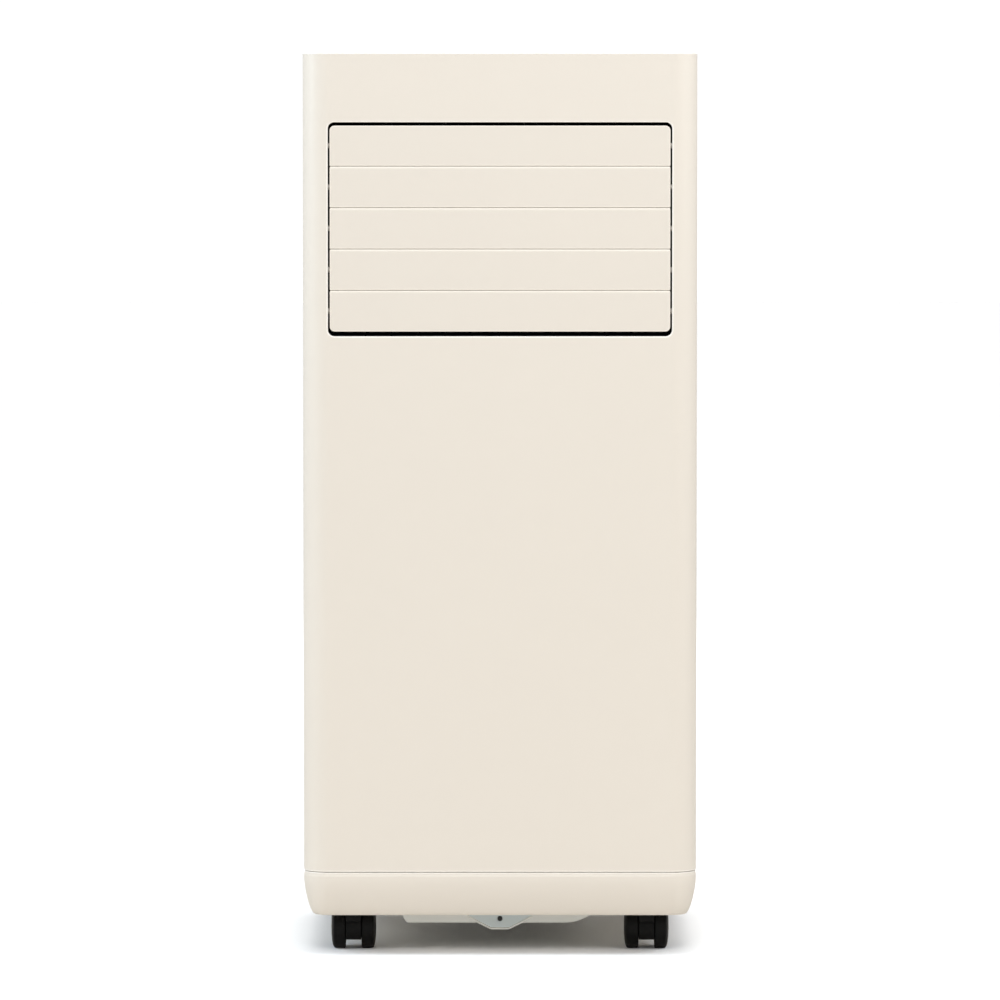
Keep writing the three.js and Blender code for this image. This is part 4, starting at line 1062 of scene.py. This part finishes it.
def cord_gland():
    """The bushing that the mains lead leaves through."""
    centre = centre_of("cord_gland")
    low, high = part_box("cord_gland")
    rim = high.y
    profile = [
        (0.0046, low.y), (0.0071, low.y), (0.0086, 0.154), (0.012, 0.154), (0.012, INNER_REAR),
        (0.0086, INNER_REAR), (0.0086, rim - ROUNDED), (0.0082, rim), (0.0074, rim), (0.007, rim - BROAD),
        (0.0064, rim - BROAD), (0.006, rim - FINE), (0.0052, rim - FINE), (0.0046, rim - 0.001),
    ]
    bushing = turned(profile, "y", (centre.x, 0, centre.z), 40, closed=True)
    piece("cord_bushing", [bushing], RUBBER, ["cord_gland"])


def drain_plug(level, radius):
    """A rubber bung with a sealing ridge, a domed end and a raised grip across it."""
    node = f"{level}_drain_plug"
    centre = centre_of(node)
    low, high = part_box(node)
    rim = high.y - 0.0012
    neck = radius - 0.0007
    profile = [
        (radius - 0.002, low.y), (radius - BROAD, low.y + 0.0012), (radius - FINE, low.y + 0.0028),
        (neck, low.y + 0.004), (neck, rim - 0.003), (radius, rim - 0.0024), (radius, rim - ROUNDED),
        (radius - EDGE, rim - CRISP), (radius - 0.0009, rim),
    ]
    grip = bar_mark(centre.x, centre.z, 2 * radius - 0.0026, 0.0024)
    parts = [
        turned(profile, "y", (centre.x, 0, centre.z), 40),
        panel("rear", high.y, grip, 0.003, front=ROUNDED),
    ]
    piece(f"{level}_bung", parts, RUBBER, [node], body=node)


def grip_cup(name, side):
    """A hand hold moulded as a pocket with round corners and a lip under its top edge."""
    node = f"handle_cup_{name}"
    low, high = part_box(node)
    outer = max(abs(low.x), abs(high.x))
    depth = high.x - low.x
    outline = round_box(low.y, high.y, low.z, high.z, GRIP_CORNER)
    floor_inset = 0.013
    section = [
        (0.0, ROUNDED), (EDGE, CRISP), (BROAD, 0.0), (0.0018, 0.0), (0.0024, EDGE), (0.0028, 0.0012),
        (0.0036, depth - 0.009), (0.0046, depth - 0.0056), (0.0066, depth - 0.0034),
        (0.0095, depth - 0.0027), (floor_inset, depth - WALL), (floor_inset, depth - EDGE), (0.0034, depth),
        (0.0014, depth - 0.002), (FINE, depth - 0.01),
    ]
    pocket = lofted(outline, section, True, lambda p: (side * (outer - p.z), p.x, p.y))
    floor_outline = inset(outline, floor_inset - FINE)
    floor = panel(name, side * (outer - depth + WALL), floor_outline, WALL - EDGE, front=CRISP, back=CRISP)
    piece(f"grip_{name}", [pocket, floor], CREAM, [node])


def casing_screws():
    """Cross-head screws sunk in the rear shell, with a dark cross of painted shade for each cross recess."""
    face = REAR - SCREW_SUNK
    profile = [
        (0.0012, face - 0.004), (SCREW_HEAD, face - 0.0014), (SCREW_HEAD, face - BROAD),
        (SCREW_HEAD - SOFT, face - FINE), (0.0016, face), (0.0006, face),
    ]
    heads = [turned(profile, "y", (x, 0, z), 24) for x, z in SCREW_PLACES]
    piece("casing_screws", heads, SCREW_STEEL)
    # Flat dark crosses on the heads stand in for the cross recesses: painted shade.
    cross = []
    for x, z in SCREW_PLACES:
        for tilt in (SCREW_TURN, SCREW_TURN + pi / 2):
            mark = bar_mark(x, z, 0.0036, BROAD, tilt)
            cross.append(panel("rear", face + 0.00005, mark, EASED, front=0.00005))
    piece("screw_recess_shade", cross, CHARCOAL)


# ---- base pan and casters

def bowl_outline(top):
    """Front outline of the pan's bowl: a slanted left end with a round foot, and a long curved right end."""
    left = [(-PAN_HALF, top), (-0.08, 0.0345)]
    foot = arc(-0.0712, PAN_BOTTOM + 0.0035, 0.0035, 205, 270, 5)
    bend = bezier((0.0504, PAN_BOTTOM), (0.0621, PAN_BOTTOM), (0.0735, 0.0274), (PAN_HALF, top), 14)
    return left + foot + bend


def base_pan():
    """The condensate pan under the chassis, with its flange and the folded lip at the front; the lip's darker
    paint and a dark disc in its hole are painted shade.
    """
    low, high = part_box("base_pan")
    front = FRONT + PAN_SETBACK
    lip_front = front - PAN_SHEET
    length = high.y - 0.005 - front
    bowl = panel("front", front, bowl_outline(high.z), length, front=BROAD, back=ROUNDED)
    flange_outline = round_box(low.x, high.x, low.y + 0.001, high.y, 0.006)
    flange = panel("top", high.z, flange_outline, PAN_SHEET, front=EDGE, back=SOFT)
    piece("drip_pan", [bowl, flange], PAN_PAINT, ["base_pan"])
    right_half = [(0.0066, 0.0172), (0.008, 0.0177), (0.0158, 0.0216), (0.0245, 0.0265), (0.039, 0.035)]
    lip = [(-x, z) for x, z in reversed(right_half)] + right_half
    bolt_hole = circle(0, LIP_HOLE_HEIGHT, BOLT_HOLE, 20)
    tongue = panel("front", lip_front, lip, PAN_SHEET + FINE, holes=[bolt_hole], front=EDGE)
    piece("pan_lip", [tongue], SHADED_LIP_PAINT)
    # A dark disc set in the lip's hole stands in for the hole's shade: painted shade.
    hole_shade = rod("y", (0, 0, LIP_HOLE_HEIGHT), HOLE_SHADE_RADIUS, lip_front + FINE, front, FINE)
    piece("pan_hole_shade", [hole_shade], CHARCOAL)
    fold = [(x, front - 0.0012, z) for x, z in lip]
    piece("pan_fold", [tube(fold, 0.0009, 10, 1)], PAN_PAINT)


def caster(corner):
    """A twin-wheel caster: barrel wheels on each side of a web, and a swivel stem above."""
    pivot = PIVOTS[f"caster_{corner}_swivel"]
    axle = PIVOTS[f"wheel_{corner}_outer_roll"]
    face = pivot.x + WEB_HALF
    lowest = degrees(asin((axle.z - WEB_NOTCH) / WEB_RADIUS))
    web = arc(axle.y, axle.z, WEB_RADIUS, -lowest, 180 + lowest, 24)
    neck = round_box(pivot.y - 0.008, pivot.y + 0.011, axle.z + 0.004, NECK_TOP, 0.0015)
    stem = (pivot.x, pivot.y, 0)
    sheets = [panel("right", face, loop, 2 * WEB_HALF, front=EASED, back=EASED) for loop in (web, neck)]
    collar = rod("z", stem, STEM_COLLAR, NECK_TOP - ROUNDED, NECK_TOP + 0.0024, SOFT, 32)
    pin = rod("z", stem, STEM_RADIUS, NECK_TOP + 0.001, STEM_TOP, SOFT)
    hub = (pivot.x, axle.y, axle.z)
    parts = [*sheets, collar, pin, rod("x", hub, AXLE_RADIUS, -AXLE_HALF, AXLE_HALF)]
    body = f"caster_{corner}"
    piece(f"caster_frame_{corner}", parts, CASTER_BLACK, [f"caster_fork_{corner}"], body=body)
    for which in ("outer", "inner"):
        caster_wheel(corner, which, hub)


def caster_wheel(corner, which, centre):
    """A barrel wheel whose outer face is dished round its hub."""
    node = f"caster_wheel_{corner}_{which}"
    side = copysign(1, centre_of(node).x - centre[0])
    radius = 0.018
    profile = [
        (0.0031, 0.0062), (0.016, 0.0062), (radius - ROUNDED, 0.0064), (radius, 0.007), (radius, 0.0144),
        (radius - EASED, 0.0152), (radius - 0.0012, 0.0158), (radius - 0.0028, 0.0164), (0.0128, 0.0169),
        (0.01, 0.0172), (0.0096, 0.0169), (0.009, 0.0169), (0.0086, 0.0173), (0.006, 0.0174),
        (0.001, 0.0174), (0.001, 0.0146), (0.0031, 0.0146),
    ]
    wheel = turned([(r, side * x) for r, x in profile], "x", centre, 64, closed=True)
    hub = rod("x", centre, 0.0016, *sorted((side * 0.0148, side * 0.0173)), CRISP)
    body = f"wheel_{corner}_{which}"
    piece(f"{body}_tyre", [wheel, hub], CASTER_BLACK, [node], body=body)


# ---- inner pieces that stay as packed

KEPT = (
    (BOARD_GREEN, "control_board"),
    (CHARCOAL, "louvre_link_rod swing_crank discharge_duct upper_blower_wheel lower_blower_wheel"),
    (MOTOR_STEEL, "swing_motor upper_fan_motor lower_fan_motor"),
    (DUCT_WHITE, "upper_scroll_housing lower_scroll_housing partition_tray exhaust_duct"),
    (COMPRESSOR_PAINT, "compressor accumulator"),
    (COPPER, "discharge_pipe suction_pipe"),
    (BOX_STEEL, "electrical_box"),
    (CAPACITOR_CAN, "run_capacitor"),
)


def finish_kept_nodes():
    for finish, nodes in KEPT:
        for node in nodes.split():
            kept = frame["nodes"][node]
            kept.data.materials.clear()
            kept.data.materials.append(finish)


# ---- stage, lights and camera

FLOOR_HALF = 14.0
FLOOR_WHITE = "ffffff"
FLOOR_BOUNCE = "d6d1c9"
WHITE = (1, 1, 1)
CAMERA_HEIGHT = 0.705
CAMERA_DISTANCE = 5.5
CAMERA_PITCH = 3.6423
CAMERA_LENS = 256.76


def stage_floor():
    """A plain floor that looks white and throws back slightly less and warmer light than white."""
    mesh = bpy.data.meshes.new("studio_floor")
    corners = [(u, v, 0) for u, v in rectangle(-FLOOR_HALF, FLOOR_HALF, -FLOOR_HALF, FLOOR_HALF)]
    mesh.from_pydata(corners, [], [(0, 1, 2, 3)])
    pale = Finish("studio_floor", FLOOR_WHITE, 0.9)
    pale.gloss(0.5, 0.85, 0.95)
    pale.blend(pale.add("LightPath", "Is Camera Ray"), linear(FLOOR_BOUNCE), FLOOR_WHITE)
    mesh.materials.append(pale.material)
    add_object("studio_floor", mesh)


# Each with its place, what it faces, its width, height and power, and its colour.
SOFTBOXES = (
    ("front_key", (0.0, -0.95, 1.3), (0, 0, 0.6), 1.1, 0.5, 2.0, (0.85, 0.93, 1.0)),
    ("left_strip", (-1.3, -0.35, 1.1), (0, -0.1, 0.6), 0.3, 0.8, 7.5, (0.66, 0.84, 1.0)),
    ("right_top", (1.2, -0.5, 1.25), (0, -0.1, 0.65), 0.5, 0.5, 8.0, (0.9, 0.95, 1.0)),
    ("rear_fill", (0.5, 2.4, 1.5), (0, 0.1, 0.4), 1.6, 1.0, 22.0, WHITE),
)


def softbox(name, place, target, width, height, power, colour):
    light = bpy.data.lights.new(name, "AREA")
    light.shape = "RECTANGLE"
    light.size = width
    light.size_y = height
    light.energy = power
    light.color = colour
    made = add_object(name, light)
    made.location = place
    made.rotation_euler = (Vector(target) - Vector(place)).to_track_quat("-Z", "Y").to_euler()
    made.visible_camera = False


def sky(left, right, seen):
    """White surroundings: pure white to the eye, and as a light softer towards the right-hand side."""
    world = bpy.data.worlds.new("studio")
    bpy.context.scene.world = world
    world.use_nodes = True
    tree = world.node_tree
    direction = shader_node(tree, "TexCoord", "Generated")
    across = shader_node(tree, "SeparateXYZ", "X", vector=direction)
    lit = shader_node(tree, "MapRange", "Result", value=across, from_min=-1, to_min=left, to_max=right)
    eye = shader_node(tree, "LightPath", "Is Camera Ray")
    level = shader_node(tree, "MapRange", "Result", value=eye, to_min=lit, to_max=seen)
    fill(tree, tree.nodes["Background"], color=(*WHITE, 1), strength=level)


def sun(name, strength, elevation, spread):
    """A distant light from the front; spread is how wide it looks, in degrees."""
    light = bpy.data.lights.new(name, "SUN")
    light.energy = strength
    light.angle = radians(spread)
    add_object(name, light).rotation_euler = (radians(90 - elevation), 0, 0)


def studio():
    stage_floor()
    sky(left=0.79, right=0.42, seen=1.05)
    sun("overhead", strength=0.85, elevation=82, spread=40)
    sun("front", strength=0.89, elevation=35, spread=16)
    for light in SOFTBOXES:
        softbox(*light)


def camera():
    data = bpy.data.cameras.new("camera")
    data.lens = CAMERA_LENS
    data.sensor_width = 36
    data.clip_end = 100
    made = add_object("camera", data)
    made.location = (0, FRONT - CAMERA_DISTANCE, CAMERA_HEIGHT)
    made.rotation_euler = (radians(90 - CAMERA_PITCH), 0, 0)
    bpy.context.scene.camera = made


# ---- the whole object

camera()
studio()
bpy.context.scene.view_settings.view_transform = "Standard"

front_casing()
rear_casing()
base_skirt()
top_cover()
control_panel()
for number in BUTTONS:
    push_button(number)
for number in SLATS:
    louvre_slat(number)
outlet_vanes()
grilles()
filter_net()
finned_coil("evaporator", rows=12)
finned_coil("condenser", rows=6)
exhaust_collar()
exhaust_guard()
cord_gland()
drain_plug("upper", BUNGS[0])
drain_plug("lower", BUNGS[1])
grip_cup("left", -1)
grip_cup("right", 1)
casing_screws()
base_pan()
for corner in CORNERS:
    caster(corner)
finish_kept_nodes()
